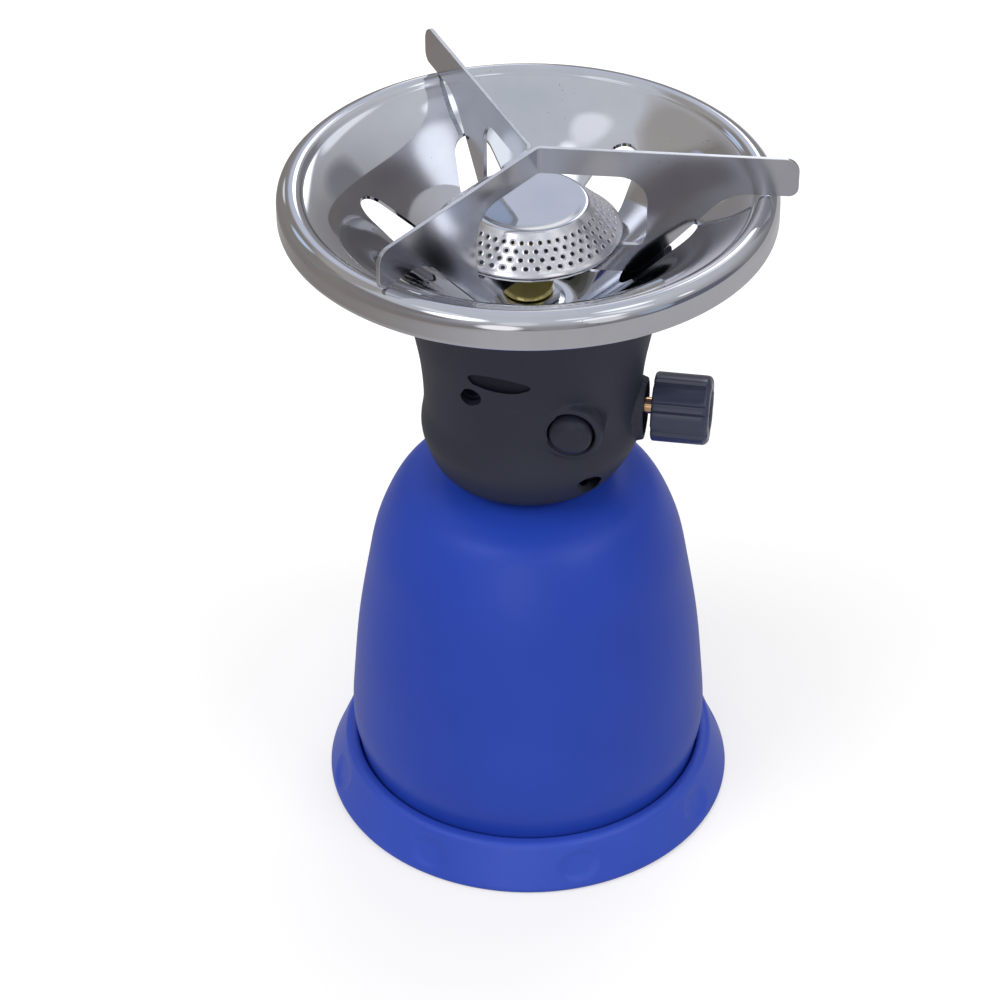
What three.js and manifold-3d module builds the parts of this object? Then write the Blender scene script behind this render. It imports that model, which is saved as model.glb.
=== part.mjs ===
// A camping gas stove that stands over a pierced butane cartridge.
// Millimetres, +Z up. The origin is the centre of the base's underside, on the floor.
// +X runs along the control knob. The two halves of the valve housing meet in the XZ plane,
// and the front half, with the igniter button, faces -Y.
import * as THREE from 'three';
import { mergeVertices } from 'three/addons/utils/BufferGeometryUtils.js';
import Module from 'manifold-3d';

const wasm = await Module();
wasm.setup();

// Clearances and cuts
const joinGap = 0.3; // between pieces that are fixed to each other
const turnGap = 0.4; // between pieces that turn or slide past each other
const overrun = 3; // how far a cut runs past the face that it opens
const weldLength = 0.01; // below this a cut leaves no facet of its own

// Faces round a circle, and steps round a corner
const wideSides = 32;
const midSides = 16;
const smallSides = 10;
const cornerSteps = 2;
const curveSteps = 8; // along the bell and the housing

// Gas cartridge
const cartridgeRadius = 45;
const cartridgeHeight = 89;
const cartridgeWall = 0.8;
const cartridgeShoulder = 13;
const cartridgeCapRadius = 12;
const cartridgeCapDrop = 2.2;
const cartridgeHollow = 6;
const cartridgeFoot = 4;

// Base disc, with the ring that centres the cartridge and carries the bayonet lugs
const baseHeight = 15;
const baseFloor = 2.5;
const baseLean = 6.2;
const baseLand = 3.6;
const baseFootRound = 1.4;
const baseEdgeRound = 2.2;
const cartridgeRoom = 1;
const ringWall = 2;
const ringHeight = 9;
const lugReach = 2;
const lugHeight = 2.6;
const lugSpan = 22;
const lugCount = 3;
const dimpleCount = 8;
const dimpleLength = 12;
const dimpleWidth = 8;
const dimpleDepth = 1;
const dimpleAzimuth = -66;

// Bell over the cartridge
const bellWall = 2;
const bellSkirtClear = 0.6;
const bellCollarWall = 3;
const bellBossWall = 2.7;
const hookHeight = 3;

// Threaded collar, and the seal and spigot that close on the cartridge
const collarLength = 19.4;
const collarFlange = 3.4;
const collarFlangeHeight = 2.2;
const threadRadius = 11;
const spigotThread = 18.5;
const spigotNeck = 6.5;
const neckRadius = 9.5;
const sealHeight = 3;
const sealRadius = 7;
const needleRadius = 1.5;
const needleBore = 0.6;
const needleReach = 11.6;
const needlePoint = 2.6;

// Valve body
const valveFlangeRadius = 12;
const valveFlangeHeight = 6;
const valveRadius = 8;
const valveTopRadius = 4.2;
const valveTopHeight = 6;
const valveArmRadius = 4.5;
const valveNoseRadius = 6.5;
const valveNoseLength = 9.1;
const passageRadius = 1.5;
const inletRadius = 1.2;
const inletOffset = 5;
const seatRadius = 0.7;
const seatOffset = 2.5;

// Spindle, its packing and the knob
const knobHeight = 23.6;
const spindleRadius = 2.4;
const spindleTaper = 3.4;
const glandRadius = 4.7;
const glandLength = 6;
const glandHexRadius = 6.3;
const glandHexLength = 2.6;
const glandRecess = 1.5;
const oRingThickness = 1.8;
const collarFace = 34.5;
const knobStandOff = 2;
const knobRadius = 10.1;
const knobLength = 16.5;
const knobRound = 2.2;
const knobFlutes = 8;
const fluteDepth = 0.9;
const knobGrip = 11;

// Valve housing
const housingRadius = 31;
const housingHeight = 81;
const housingWall = 2.2;
const housingSwell = 2.6;
const swellRise = 22;
const stemCollarRadius = 9;
const stemBoreRadius = 7;
const stemCollarDepth = 5.3;
const slotLength = 19;
const slotWidth = 5;
const slotHeight = 48.4;
const slotAzimuth = -96;
const slotTilt = 4;
const screwRadius = 1.2;
const screwHeadRadius = 2.1;
const screwHeadHeight = 1.6;
const screwLength = 16;
const screwPostRadius = 4;
const upperScrewX = -12.2;
const upperScrewHeight = 40.8;
const lowerScrewX = 20.8;
const lowerScrewHeight = 7.9;
const screwSeat = -12;

// Piezo igniter
const igniterX = 16;
const igniterHeight = 31.2;
const igniterWidth = 9.4;
const igniterThickness = 5.4;
const igniterBack = 10;
const igniterGrip = 4;
const buttonRadius = 6;
const buttonProud = 2;
const buttonLength = 9;
const buttonDome = 2.4;
const buttonTravel = 4;
const plungerRadius = 2;
const buttonRingWall = 2.1;
const buttonRingSunk = 1;
const leadRadius = 1;
const electrodeRadius = 0.7;
const electrodeAzimuth = 93;
const electrodeOffset = 19;
const insulatorRadius = 2.6;
const insulatorFlange = 1.4;
const insulatorLength = 20;
const insulatorBelow = 6;
const electrodeBare = 3.6;

// Jet, mixer tube and the pieces that clamp the windshield
const jetHexHeight = 2.4;
const jetTipRadius = 2.2;
const jetTipHeight = 2.8;
const jetStud = 3;
const jetStudRadius = 2.4;
const jetBore = 0.5;
const mixerWall = 1.6;
const mixerSocket = 10;
const mixerDrop = 12.9;
const airHoleRadius = 2;
const airHoleDrop = 7.6;
const shoulderRadius = 9;
const shoulderHeight = 2.2;
const washerHeight = 0.7;
const washerRadius = 10.6;
const nutHeight = 2.1;
const nutRadius = 9.2;
const neckWall = 0.7;
const neckHeight = 17.4;
const neckRound = 1.2;
const crimpHeight = 2.2;

// Windshield bowl
const bowlFloorHeight = 56.3;
const bowlSheet = 0.8;
const bowlLipRadius = 62;
const bowlDepth = 37.3;
const rimBeadRadius = 4.2;
const rimRise = 1.4;
const rimOuterRadius = 69.4;
const rimDrop = 10;
const rimCurl = 1.5;
const ventCount = 6;
const ventAzimuth = 0.7;
const ventInner = 25.7;
const ventOuter = 47.1;
const ventWideRadius = 7.3;
const ventTipRadius = 5.7;
const bowlStepCount = 6;
const rimStepCount = 5;

// Pan supports
const supportSheet = 1.2;
const supportTipHeight = 11.5;
const supportStrip = 8;
const supportFootHeight = 8.9;
const supportFootInset = 2;
const supportSlopeRun = 22.3;
const cutOutUpperRound = 8;
const cutOutLowerRound = 3;
const supportTipRound = 4;
const supportCornerRound = 2.8;
const supportBendRound = 14;
const bendAcross = 2.8;
const bendForward = 1;
const rightAzimuth = 3.5;
const rightCutOut = 30.2;
const rightTip = 71.3;
const frontAzimuth = -118.4;
const frontCutOut = 27.5;
const frontTip = 68.5;
const backAzimuth = 122.2;
const backCutOut = 31;
const backTip = 75.8;
const tabLength = 13.5;
const tabDrop = 0.5;

// Burner head
const burnerRadius = 26.3;
const burnerTopRadius = 16.8;
const burnerHeight = 8.9;
const burnerRim = 2.3;
const burnerSheet = 0.8;
const burnerRound = 1.6;
const cupRimLean = 1.5;
const portRows = 4;
const portCount = 24;
const portRadius = 0.55;
const portMargin = 1.6;

// Heights, from the floor up
const cartridgeSeat = baseFloor + joinGap;
const cartridgeTop = cartridgeSeat + cartridgeHeight;
const sealBottom = cartridgeTop + joinGap;
const spigotBottom = sealBottom + sealHeight + joinGap;
const collarBottom = spigotBottom + turnGap;
const collarTop = collarBottom + collarLength;
const bellTop = collarTop + joinGap;
const housingBottom = bellTop + turnGap;
const spigotShoulder = spigotBottom + spigotThread;
const spigotTop = spigotShoulder + spigotNeck;
const valveBottom = housingBottom + housingWall + joinGap;
const knobZ = housingBottom + knobHeight;
const igniterZ = housingBottom + igniterHeight;
const bowlFloorTop = housingBottom + bowlFloorHeight;
const bowlLipZ = bowlFloorTop + bowlDepth;
const rimTop = bowlLipZ + rimRise;
const shoulderTop = bowlFloorTop - bowlSheet - joinGap;
const mixerBottom = shoulderTop - shoulderHeight - mixerDrop;
const valveTop = mixerBottom - joinGap + valveTopHeight;
const jetBase = valveTop + joinGap;
const jetTop = jetBase + jetHexHeight + jetTipHeight;
const washerBottom = bowlFloorTop + joinGap;
const nutBottom = washerBottom + washerHeight + joinGap;
const neckBottom = nutBottom + nutHeight + joinGap;
const neckTop = neckBottom + neckHeight;
const cupBottom = neckTop + joinGap;
const burnerBottom = cupBottom + burnerRim;
const supportUnder = rimTop + joinGap;
const supportTop = supportUnder + supportTipHeight;

// Radii and places that follow from what fits inside what
const ringInner = cartridgeRadius + cartridgeRoom;
const ringOuter = ringInner + ringWall;
const skirtInner = ringOuter + lugReach + turnGap;
const skirtRadius = skirtInner + bellWall;
const baseBore = skirtRadius + turnGap;
const baseRadius = baseBore + baseLand + baseLean;
const collarInner = threadRadius + joinGap;
const collarOuter = collarInner + bellCollarWall;
const mixerInner = valveTopRadius + turnGap;
const mixerRadius = mixerInner + mixerWall;
const mixerHole = mixerRadius + joinGap;
const neckInner = mixerRadius + joinGap;
const neckOuter = neckInner + neckWall;
const knobBack = collarFace + knobStandOff;
const buttonFace = -housingRadius - buttonProud;
const buttonRingFace = -housingRadius + buttonRingSunk;
const igniterFront = buttonFace + buttonLength + buttonTravel * 2;
const igniterSleeveEnd = igniterFront + igniterGrip;
const stemCollarStart = housingRadius - stemCollarDepth;
const valveNoseEnd = collarFace - glandRecess - glandHexLength - joinGap;
const needleHole = needleRadius + turnGap;

// Revolved profiles: shares of the height with shares of the radius there
const bellHeightShares = [0, 0.104, 0.259, 0.436, 0.624, 0.78, 0.914, 0.972, 1];
const bellRadiusShares = [1, 1.032, 1.013, 0.979, 0.92, 0.857, 0.74, 0.6, 0.42];
const housingHeightShares = [0, 0.038, 0.1, 0.192, 0.306, 0.459, 0.612, 0.741, 0.926, 1];
const housingRadiusShares = [0.655, 0.842, 0.939, 1, 0.971, 0.997, 1.065, 1.125, 1.23, 1.272];
const bowlHeightShares = [0, 0.308, 0.547, 0.767, 1];
const bowlRadiusShares = [0.21, 0.455, 0.605, 0.758, 1];

// A point on a profile or an outline
function at(x, y) {
  return new THREE.Vector2(x, y);
}

// A point in space
function place(x, y, z) {
  return new THREE.Vector3(x, y, z);
}

// A direction from the axis, in degrees round it
function bearing(degrees) {
  const angle = THREE.MathUtils.degToRad(degrees);
  return place(Math.cos(angle), Math.sin(angle), 0);
}

// Turns a list of corners, each with its fillet, into points with true arcs
function rounded(corners) {
  const points = [];
  corners.forEach(([x, y, fillet], index) => {
    const corner = at(x, y);
    if (!fillet) {
      points.push(corner);
      return;
    }
    const [beforeX, beforeY] = corners.at(index - 1);
    const [afterX, afterY] = corners[(index + 1) % corners.length];
    const back = at(beforeX, beforeY).sub(corner);
    const ahead = at(afterX, afterY).sub(corner);
    const half = back.angleTo(ahead) / 2;
    const room = Math.min(back.length(), ahead.length()) / 2;
    const reach = Math.min(fillet / Math.tan(half), room);
    back.normalize();
    ahead.normalize();
    const middle = back.clone().add(ahead).normalize();
    const centre = corner.clone().addScaledVector(middle, reach / Math.cos(half));
    const first = corner.clone().addScaledVector(back, reach).sub(centre);
    const last = corner.clone().addScaledVector(ahead, reach).sub(centre);
    const turn = Math.atan2(first.cross(last), first.dot(last));
    for (let step = 0; step <= cornerSteps; step += 1) {
      const spoke = first.clone().rotateAround(at(0, 0), (turn * step) / cornerSteps);
      points.push(spoke.add(centre));
    }
  });
  return points;
}

// A line of points moved sideways by a wall's thickness, to its left if that is positive
function offsetLine(line, thickness) {
  return line.map((point, index) => {
    const before = line[Math.max(index - 1, 0)];
    const after = line[Math.min(index + 1, line.length - 1)];
    const ahead = after.clone().sub(before).normalize();
    return at(point.x - ahead.y * thickness, point.y + ahead.x * thickness);
  });
}

// A bent sheet: one face of it as a line, closed by the other face
function sheetProfile(line, thickness) {
  return [...line, ...offsetLine(line, thickness).reverse()];
}

// A smooth line through shares of a height and of a radius
function sharedLine(radiusShares, heightShares, radius, bottom, height, steps) {
  const knots = radiusShares.map((share, index) => {
    return at(share * radius, bottom + heightShares[index] * height);
  });
  return new THREE.SplineCurve(knots).getPoints(steps);
}

// A solid of revolution about Z, from a closed profile of radius and height
function revolve(points, sides) {
  const rising = THREE.ShapeUtils.area(points) > 0 ? points : [...points].reverse();
  const axisEdge = rising.findIndex((point, index) => {
    return point.x === 0 && rising[(index + 1) % rising.length].x === 0;
  });
  const opened = [...rising.slice(axisEdge + 1), ...rising.slice(0, axisEdge + 1)];
  const profile = axisEdge < 0 ? [...rising, rising[0]] : opened;
  return new THREE.LatheGeometry(profile, sides).rotateX(Math.PI / 2);
}

// The same about the knob's axis: the profile's height runs along X
function revolveAlongX(points, sides) {
  return revolve(points, sides).rotateY(Math.PI / 2).translate(0, 0, knobZ);
}

// The same about a line through the housing's front: the profile's height runs along -Y
function revolveToFront(points, sides, x, z) {
  return revolve(points, sides).rotateX(Math.PI / 2).translate(x, 0, z);
}

// A round bar from one point to another
function bar(radius, start, end, sides) {
  const length = start.distanceTo(end);
  const direction = end.clone().sub(start).normalize();
  const middle = start.clone().lerp(end, 1 / 2);
  const turn = new THREE.Quaternion().setFromUnitVectors(place(0, 1, 0), direction);
  const geometry = new THREE.CylinderGeometry(radius, radius, length, sides);
  return geometry.applyQuaternion(turn).translate(middle.x, middle.y, middle.z);
}

// A box between two corners
function block(low, high) {
  const size = high.clone().sub(low);
  const middle = low.clone().lerp(high, 1 / 2);
  const geometry = new THREE.BoxGeometry(size.x, size.y, size.z);
  return geometry.translate(middle.x, middle.y, middle.z);
}

// A flat outline given a height
function prism(points, bottom, top) {
  const settings = { depth: top - bottom, bevelEnabled: false };
  return new THREE.ExtrudeGeometry(new THREE.Shape(points), settings).translate(0, 0, bottom);
}

// A piece of a ring, centred on an azimuth
function ringSector(inner, outer, bottom, top, azimuth, span) {
  const shape = new THREE.Shape();
  const from = THREE.MathUtils.degToRad(azimuth - span / 2);
  const to = THREE.MathUtils.degToRad(azimuth + span / 2);
  shape.absarc(0, 0, outer, from, to, false);
  shape.absarc(0, 0, inner, to, from, true);
  const settings = { depth: top - bottom, bevelEnabled: false, curveSegments: cornerSteps };
  return new THREE.ExtrudeGeometry(shape, settings).translate(0, 0, bottom);
}

// Booleans: a closed geometry becomes a solid, is joined or cut, and comes back
function toSolid(geometry) {
  const bare = geometry.clone();
  bare.deleteAttribute('normal');
  bare.deleteAttribute('uv');
  const merged = mergeVertices(bare);
  const corners = merged.index.array;
  const triVerts = [];
  for (let first = 0; first < corners.length; first += 3) {
    const [a, b, c] = corners.slice(first, first + 3);
    if (a !== b && b !== c && c !== a) {
      triVerts.push(a, b, c);
    }
  }
  return new wasm.Manifold(new wasm.Mesh({
    numProp: 3,
    vertProperties: new Float32Array(merged.attributes.position.array),
    triVerts: new Uint32Array(triVerts),
  }));
}

function fromSolid(solid) {
  const mesh = solid.getMesh();
  const geometry = new THREE.BufferGeometry();
  geometry.setAttribute('position', new THREE.BufferAttribute(mesh.vertProperties, 3));
  geometry.setIndex(new THREE.BufferAttribute(mesh.triVerts, 1));
  geometry.computeVertexNormals();
  return geometry;
}

function join(...geometries) {
  const solids = geometries.map(toSolid);
  return fromSolid(solids.reduce((whole, solid) => whole.add(solid)));
}

function cut(geometry, ...tools) {
  const solids = tools.map(toSolid);
  return fromSolid(solids.reduce((whole, solid) => whole.subtract(solid), toSolid(geometry)));
}

function common(geometry, limit) {
  return fromSolid(toSolid(geometry).intersect(toSolid(limit)));
}

// Base disc: a moulded dish with a leaning rim and thumb dimples
function baseDisc() {
  const profile = rounded([
    [0, 0, 0],
    [baseRadius, 0, baseFootRound],
    [baseRadius - baseLean, baseHeight, baseEdgeRound],
    [baseBore, baseHeight, baseEdgeRound / 2],
    [baseBore, baseFloor, 0],
    [ringOuter, baseFloor, 0],
    [ringOuter, baseFloor + ringHeight, 0],
    [ringInner, baseFloor + ringHeight, ringWall / 2],
    [ringInner, baseFloor, 0],
    [0, baseFloor, 0],
  ]);
  const lugs = [];
  for (let index = 0; index < lugCount; index += 1) {
    const azimuth = (index * 360) / lugCount;
    const top = baseFloor + ringHeight;
    const bite = ringWall / 2;
    lugs.push(ringSector(ringOuter - bite, ringOuter + lugReach, top - lugHeight, top, azimuth, lugSpan));
  }
  return cut(join(revolve(profile, wideSides), ...lugs), ...baseDimples());
}

// Thumb dimples: flattened balls set into the leaning face of the rim
function baseDimples() {
  const dimples = [];
  const lean = Math.atan2(baseLean, baseHeight);
  const middleRadius = baseRadius - baseLean / 2;
  const spread = 1 / Math.cos(Math.PI / 6);
  const ballDepth = dimpleDepth * 2;
  for (let index = 0; index < dimpleCount; index += 1) {
    const azimuth = dimpleAzimuth + (index * 360) / dimpleCount;
    const dimple = new THREE.SphereGeometry(1, smallSides, 5);
    dimple.scale(ballDepth, (dimpleLength / 2) * spread, (dimpleWidth / 2) * spread);
    dimple.rotateY(-lean);
    dimple.translate(middleRadius + dimpleDepth, 0, baseHeight / 2);
    dimples.push(dimple.rotateZ(THREE.MathUtils.degToRad(azimuth)));
  }
  return dimples;
}

// Gas cartridge: a drawn steel can with a pierced cap
function gasCartridge() {
  const shoulderZ = cartridgeTop - cartridgeShoulder;
  const outside = rounded([
    [0, cartridgeSeat + cartridgeHollow, 0],
    [cartridgeRadius - cartridgeFoot * 2, cartridgeSeat + cartridgeHollow / 2, 0],
    [cartridgeRadius - cartridgeFoot, cartridgeSeat, 0],
    [cartridgeRadius, cartridgeSeat + cartridgeFoot, 0],
    [cartridgeRadius, shoulderZ, cartridgeShoulder / 2],
    [cartridgeRadius - cartridgeShoulder, cartridgeTop - cartridgeCapDrop, 0],
    [cartridgeCapRadius, cartridgeTop - cartridgeCapDrop, 0],
    [cartridgeCapRadius - cartridgeCapDrop, cartridgeTop, 0],
    [needleHole, cartridgeTop, 0],
  ]);
  const inside = offsetLine(outside, cartridgeWall);
  inside[0].x = 0;
  inside.at(-1).x = needleHole;
  return revolve([...outside, ...inside.reverse()], midSides * 2);
}

// Bell: a moulded cover with a skirt that drops into the base and a boss for the collar
function bellHousing() {
  const skirtBottom = baseFloor + bellSkirtClear;
  const shellHeight = bellTop - baseHeight;
  const outside = sharedLine(
    bellRadiusShares, bellHeightShares, skirtRadius, baseHeight, shellHeight, curveSteps,
  );
  const inside = offsetLine(outside, bellWall);
  const bossBottom = collarBottom + collarFlangeHeight + joinGap;
  const bossInner = collarOuter + joinGap;
  const bossOuter = bossInner + bellBossWall;
  const roofUnder = bellTop - bellWall;
  inside.pop();
  const profile = [
    at(skirtRadius, skirtBottom),
    ...outside,
    at(bossInner, bellTop),
    at(bossInner, bossBottom),
    at(bossOuter, bossBottom),
    at(bossOuter, roofUnder),
    ...inside.reverse(),
    at(skirtInner, skirtBottom),
  ];
  const hooks = [];
  for (let index = 0; index < lugCount; index += 1) {
    const azimuth = (index * 360) / lugCount;
    const top = baseFloor + ringHeight - lugHeight - turnGap;
    const bite = bellWall / 2;
    hooks.push(ringSector(ringOuter + turnGap, skirtInner + bite, top - hookHeight, top, azimuth, lugSpan));
  }
  return join(revolve(profile, wideSides), ...hooks);
}

// Threaded collar: a metal bush with a flange, set in the bell's boss from below
function bellCollar() {
  const flangeTop = collarBottom + collarFlangeHeight;
  return revolve([
    at(collarInner, collarBottom),
    at(collarOuter + collarFlange, collarBottom),
    at(collarOuter + collarFlange, flangeTop),
    at(collarOuter, flangeTop),
    at(collarOuter, collarTop),
    at(collarInner, collarTop),
  ], midSides);
}

// Seal: a rubber ring between the cartridge's cap and the spigot
function cartridgeSeal() {
  return revolve([
    at(needleHole, sealBottom),
    at(sealRadius, sealBottom),
    at(sealRadius, sealBottom + sealHeight),
    at(needleHole, sealBottom + sealHeight),
  ], midSides);
}

// Piercing spigot: threaded outside, with a hollow needle below and a neck above
function piercingSpigot() {
  const needleTip = spigotBottom - needleReach;
  const stubRadius = neckRadius - ringWall;
  return revolve([
    at(needleBore, needleTip),
    at(needleRadius, needleTip + needlePoint),
    at(needleRadius, spigotBottom),
    at(threadRadius, spigotBottom),
    at(threadRadius, spigotShoulder),
    at(neckRadius, spigotShoulder),
    at(neckRadius, valveBottom),
    at(stubRadius, valveBottom),
    at(stubRadius, spigotTop),
    at(needleBore, spigotTop),
  ], midSides);
}

// Valve body: a casting with an upright barrel, an arm for the spindle and its gas passages
function valveBody() {
  const barrelTop = mixerBottom - joinGap;
  const axisAt = (x) => place(x, 0, knobZ);
  const socketRadius = neckRadius - ringWall + joinGap;
  const socketTop = spigotTop + joinGap;
  const flangeTop = valveBottom + valveFlangeHeight;
  const chamberRadius = spindleRadius + turnGap + joinGap;
  const packingStart = valveNoseEnd - glandLength - oRingThickness - joinGap;
  const shape = join(
    bar(valveFlangeRadius, place(0, 0, valveBottom), place(0, 0, flangeTop), midSides),
    bar(valveRadius, place(0, 0, flangeTop - overrun), place(0, 0, barrelTop), midSides),
    bar(valveTopRadius, place(0, 0, barrelTop - overrun), place(0, 0, valveTop), smallSides),
    bar(valveArmRadius, axisAt(0), axisAt(valveNoseEnd), midSides),
    bar(valveNoseRadius, axisAt(valveNoseEnd - valveNoseLength), axisAt(valveNoseEnd), midSides),
  );
  return cut(
    shape,
    bar(socketRadius, place(0, 0, valveBottom - overrun), place(0, 0, socketTop), midSides),
    bar(inletRadius, place(inletOffset, 0, socketTop - overrun), axisAt(inletOffset), smallSides),
    bar(chamberRadius, axisAt(seatOffset), axisAt(packingStart), smallSides),
    bar(glandRadius + joinGap, axisAt(packingStart), axisAt(valveNoseEnd + overrun), midSides),
    bar(seatRadius, axisAt(0), axisAt(seatOffset + overrun), smallSides),
    bar(passageRadius, axisAt(0), place(0, 0, valveTop), smallSides),
    bar(jetStudRadius + joinGap, place(0, 0, valveTop - jetStud - joinGap),
      place(0, 0, valveTop + overrun), smallSides),
  );
}

// Spindle: a turned stem whose point closes the valve's seat
function valveSpindle() {
  const tip = seatOffset + joinGap;
  return revolveAlongX([
    at(0, tip),
    at(spindleRadius, tip + spindleTaper),
    at(spindleRadius, knobBack + knobGrip - joinGap),
    at(0, knobBack + knobGrip - joinGap),
  ], smallSides);
}

// O-ring round the spindle, behind the gland
function spindleORing() {
  const thickness = oRingThickness / 2;
  const ring = new THREE.TorusGeometry(spindleRadius + joinGap + thickness, thickness, 8, smallSides);
  const x = valveNoseEnd - glandLength - thickness - joinGap / 2;
  return ring.rotateY(Math.PI / 2).translate(x, 0, knobZ);
}

// Gland nut: screws into the valve's nose and presses on the O-ring
function spindleGland() {
  const bodyStart = valveNoseEnd - glandLength;
  const headStart = valveNoseEnd + joinGap;
  const headEnd = headStart + glandHexLength;
  const axisAt = (x) => place(x, 0, knobZ);
  return cut(
    join(
      bar(glandRadius, axisAt(bodyStart), axisAt(headEnd), midSides),
      bar(glandHexRadius, axisAt(headStart), axisAt(headEnd), 6),
    ),
    bar(spindleRadius + turnGap, axisAt(bodyStart - overrun), axisAt(headEnd + overrun), smallSides),
  );
}

// Control knob: a fluted handle pushed on the spindle
function controlKnob() {
  const points = [];
  const steps = knobFlutes * 6;
  for (let step = 0; step < steps; step += 1) {
    const angle = (step * 2 * Math.PI) / steps;
    const groove = Math.max(0, Math.cos(angle * knobFlutes)) ** 3;
    const radius = knobRadius - knobRound - fluteDepth * groove;
    points.push(at(radius * Math.cos(angle), radius * Math.sin(angle)));
  }
  const handle = new THREE.ExtrudeGeometry(new THREE.Shape(points), {
    depth: knobLength - knobRound * 2,
    bevelThickness: knobRound,
    bevelSize: knobRound,
    bevelSegments: 2,
  });
  handle.rotateY(Math.PI / 2).translate(knobBack + knobRound, 0, knobZ);
  const boreStart = place(knobBack - overrun, 0, knobZ);
  const boreEnd = place(knobBack + knobGrip, 0, knobZ);
  return cut(handle, bar(spindleRadius + joinGap, boreStart, boreEnd, smallSides));
}

// Jet: a hexagon with a fine bore that screws into the valve's top
function gasJet() {
  const hexTop = jetBase + jetHexHeight;
  return cut(
    join(
      bar(jetStudRadius, place(0, 0, valveTop - jetStud), place(0, 0, hexTop), smallSides),
      bar(valveTopRadius, place(0, 0, jetBase), place(0, 0, hexTop), 6),
      bar(jetTipRadius, place(0, 0, jetBase), place(0, 0, jetTop), smallSides),
    ),
    bar(jetBore, place(0, 0, valveTop - jetStud - overrun), place(0, 0, jetTop + overrun), 8),
  );
}

// Mixer tube: brass, with a shoulder under the bowl and four holes that draw air in past the jet
function mixerTube() {
  const tubeTop = neckBottom + mixerSocket;
  const tube = revolve([
    at(mixerInner, mixerBottom),
    at(mixerRadius, mixerBottom),
    at(mixerRadius, shoulderTop - shoulderHeight),
    at(shoulderRadius, shoulderTop - shoulderHeight),
    at(shoulderRadius, shoulderTop),
    at(mixerRadius, shoulderTop),
    at(mixerRadius, tubeTop),
    at(mixerInner, tubeTop),
  ], midSides);
  const holeZ = shoulderTop - airHoleDrop;
  const reach = mixerRadius + overrun;
  return cut(
    tube,
    bar(airHoleRadius, place(-reach, 0, holeZ), place(reach, 0, holeZ), smallSides),
    bar(airHoleRadius, place(0, -reach, holeZ), place(0, reach, holeZ), smallSides),
  );
}

// Lock washer and clamp nut that hold the windshield down on the mixer tube's shoulder
function lockWasher() {
  return revolve([
    at(mixerHole, washerBottom),
    at(washerRadius, washerBottom),
    at(washerRadius, washerBottom + washerHeight),
    at(mixerHole, washerBottom + washerHeight),
  ], midSides);
}

function clampNut() {
  const low = place(0, 0, nutBottom);
  const high = place(0, 0, nutBottom + nutHeight);
  return cut(
    bar(nutRadius, low, high, 6),
    bar(mixerHole, place(0, 0, nutBottom - overrun), place(0, 0, nutBottom + nutHeight + overrun), midSides),
  );
}

// Burner neck: a brass bush on the mixer tube, with a thin lip crimped through the cup
function burnerNeck() {
  const innerTop = neckBottom + mixerSocket + joinGap;
  const crimpRadius = mixerRadius;
  return revolve(rounded([
    [neckInner, neckBottom, 0],
    [neckOuter, neckBottom, neckRound / 2],
    [neckOuter, neckTop, 0],
    [crimpRadius, neckTop, 0],
    [crimpRadius, neckTop + crimpHeight, 0],
    [mixerInner, neckTop + crimpHeight, 0],
    [mixerInner, innerTop, 0],
    [neckInner, innerTop, 0],
  ]), midSides);
}

// The bowl's inner face, from its floor to the lip, as an arc with a slight bow
function bowlWallLine() {
  return sharedLine(
    bowlRadiusShares, bowlHeightShares, bowlLipRadius, bowlFloorTop, bowlDepth, bowlStepCount,
  );
}

// The rim: a rounded bead that turns down outside and curls in at its edge
function bowlRimLine() {
  const centre = at(rimOuterRadius - rimBeadRadius, rimTop - rimBeadRadius);
  const line = [];
  const firstAngle = (Math.PI * 2) / 3;
  for (let step = 0; step <= rimStepCount; step += 1) {
    const angle = firstAngle * (1 - step / rimStepCount);
    line.push(at(Math.cos(angle), Math.sin(angle)).multiplyScalar(rimBeadRadius).add(centre));
  }
  const edgeZ = rimTop - rimDrop;
  line.push(at(rimOuterRadius, edgeZ + rimCurl));
  line.push(at(rimOuterRadius - rimCurl / 3, edgeZ + rimCurl / 3));
  line.push(at(rimOuterRadius - rimCurl, edgeZ));
  return line;
}

// A teardrop vent, wide towards the axis, as a flat outline along +X
function ventOutline() {
  const wide = ventInner + ventWideRadius;
  const narrow = ventOuter - ventTipRadius;
  const lean = Math.acos((ventWideRadius - ventTipRadius) / (narrow - wide));
  const shape = new THREE.Shape();
  shape.absarc(wide, 0, ventWideRadius, lean, -lean, false);
  shape.absarc(narrow, 0, ventTipRadius, -lean, lean, false);
  return shape.getPoints(cornerSteps * 2);
}

// Windshield: a spun bowl with six vents and a hole for the electrode
function windshield() {
  const floorLine = [at(mixerHole, bowlFloorTop)];
  const line = [...floorLine, ...bowlWallLine(), ...bowlRimLine()];
  const bowl = revolve(sheetProfile(line, -bowlSheet), wideSides);
  const cuts = [];
  for (let index = 0; index < ventCount; index += 1) {
    const angle = THREE.MathUtils.degToRad(ventAzimuth + (index * 360) / ventCount);
    cuts.push(prism(ventOutline(), bowlFloorTop, rimTop).rotateZ(angle));
  }
  const foot = bearing(electrodeAzimuth).multiplyScalar(electrodeOffset);
  const low = foot.clone().setZ(bowlFloorTop - overrun);
  const high = foot.clone().setZ(rimTop);
  cuts.push(bar(insulatorRadius + joinGap, low, high, smallSides));
  return cut(bowl, ...cuts);
}

// The bend of the V stands a little to the side of the axis
function bendPlace() {
  return place(bendAcross, -bendForward, 0);
}

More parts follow.
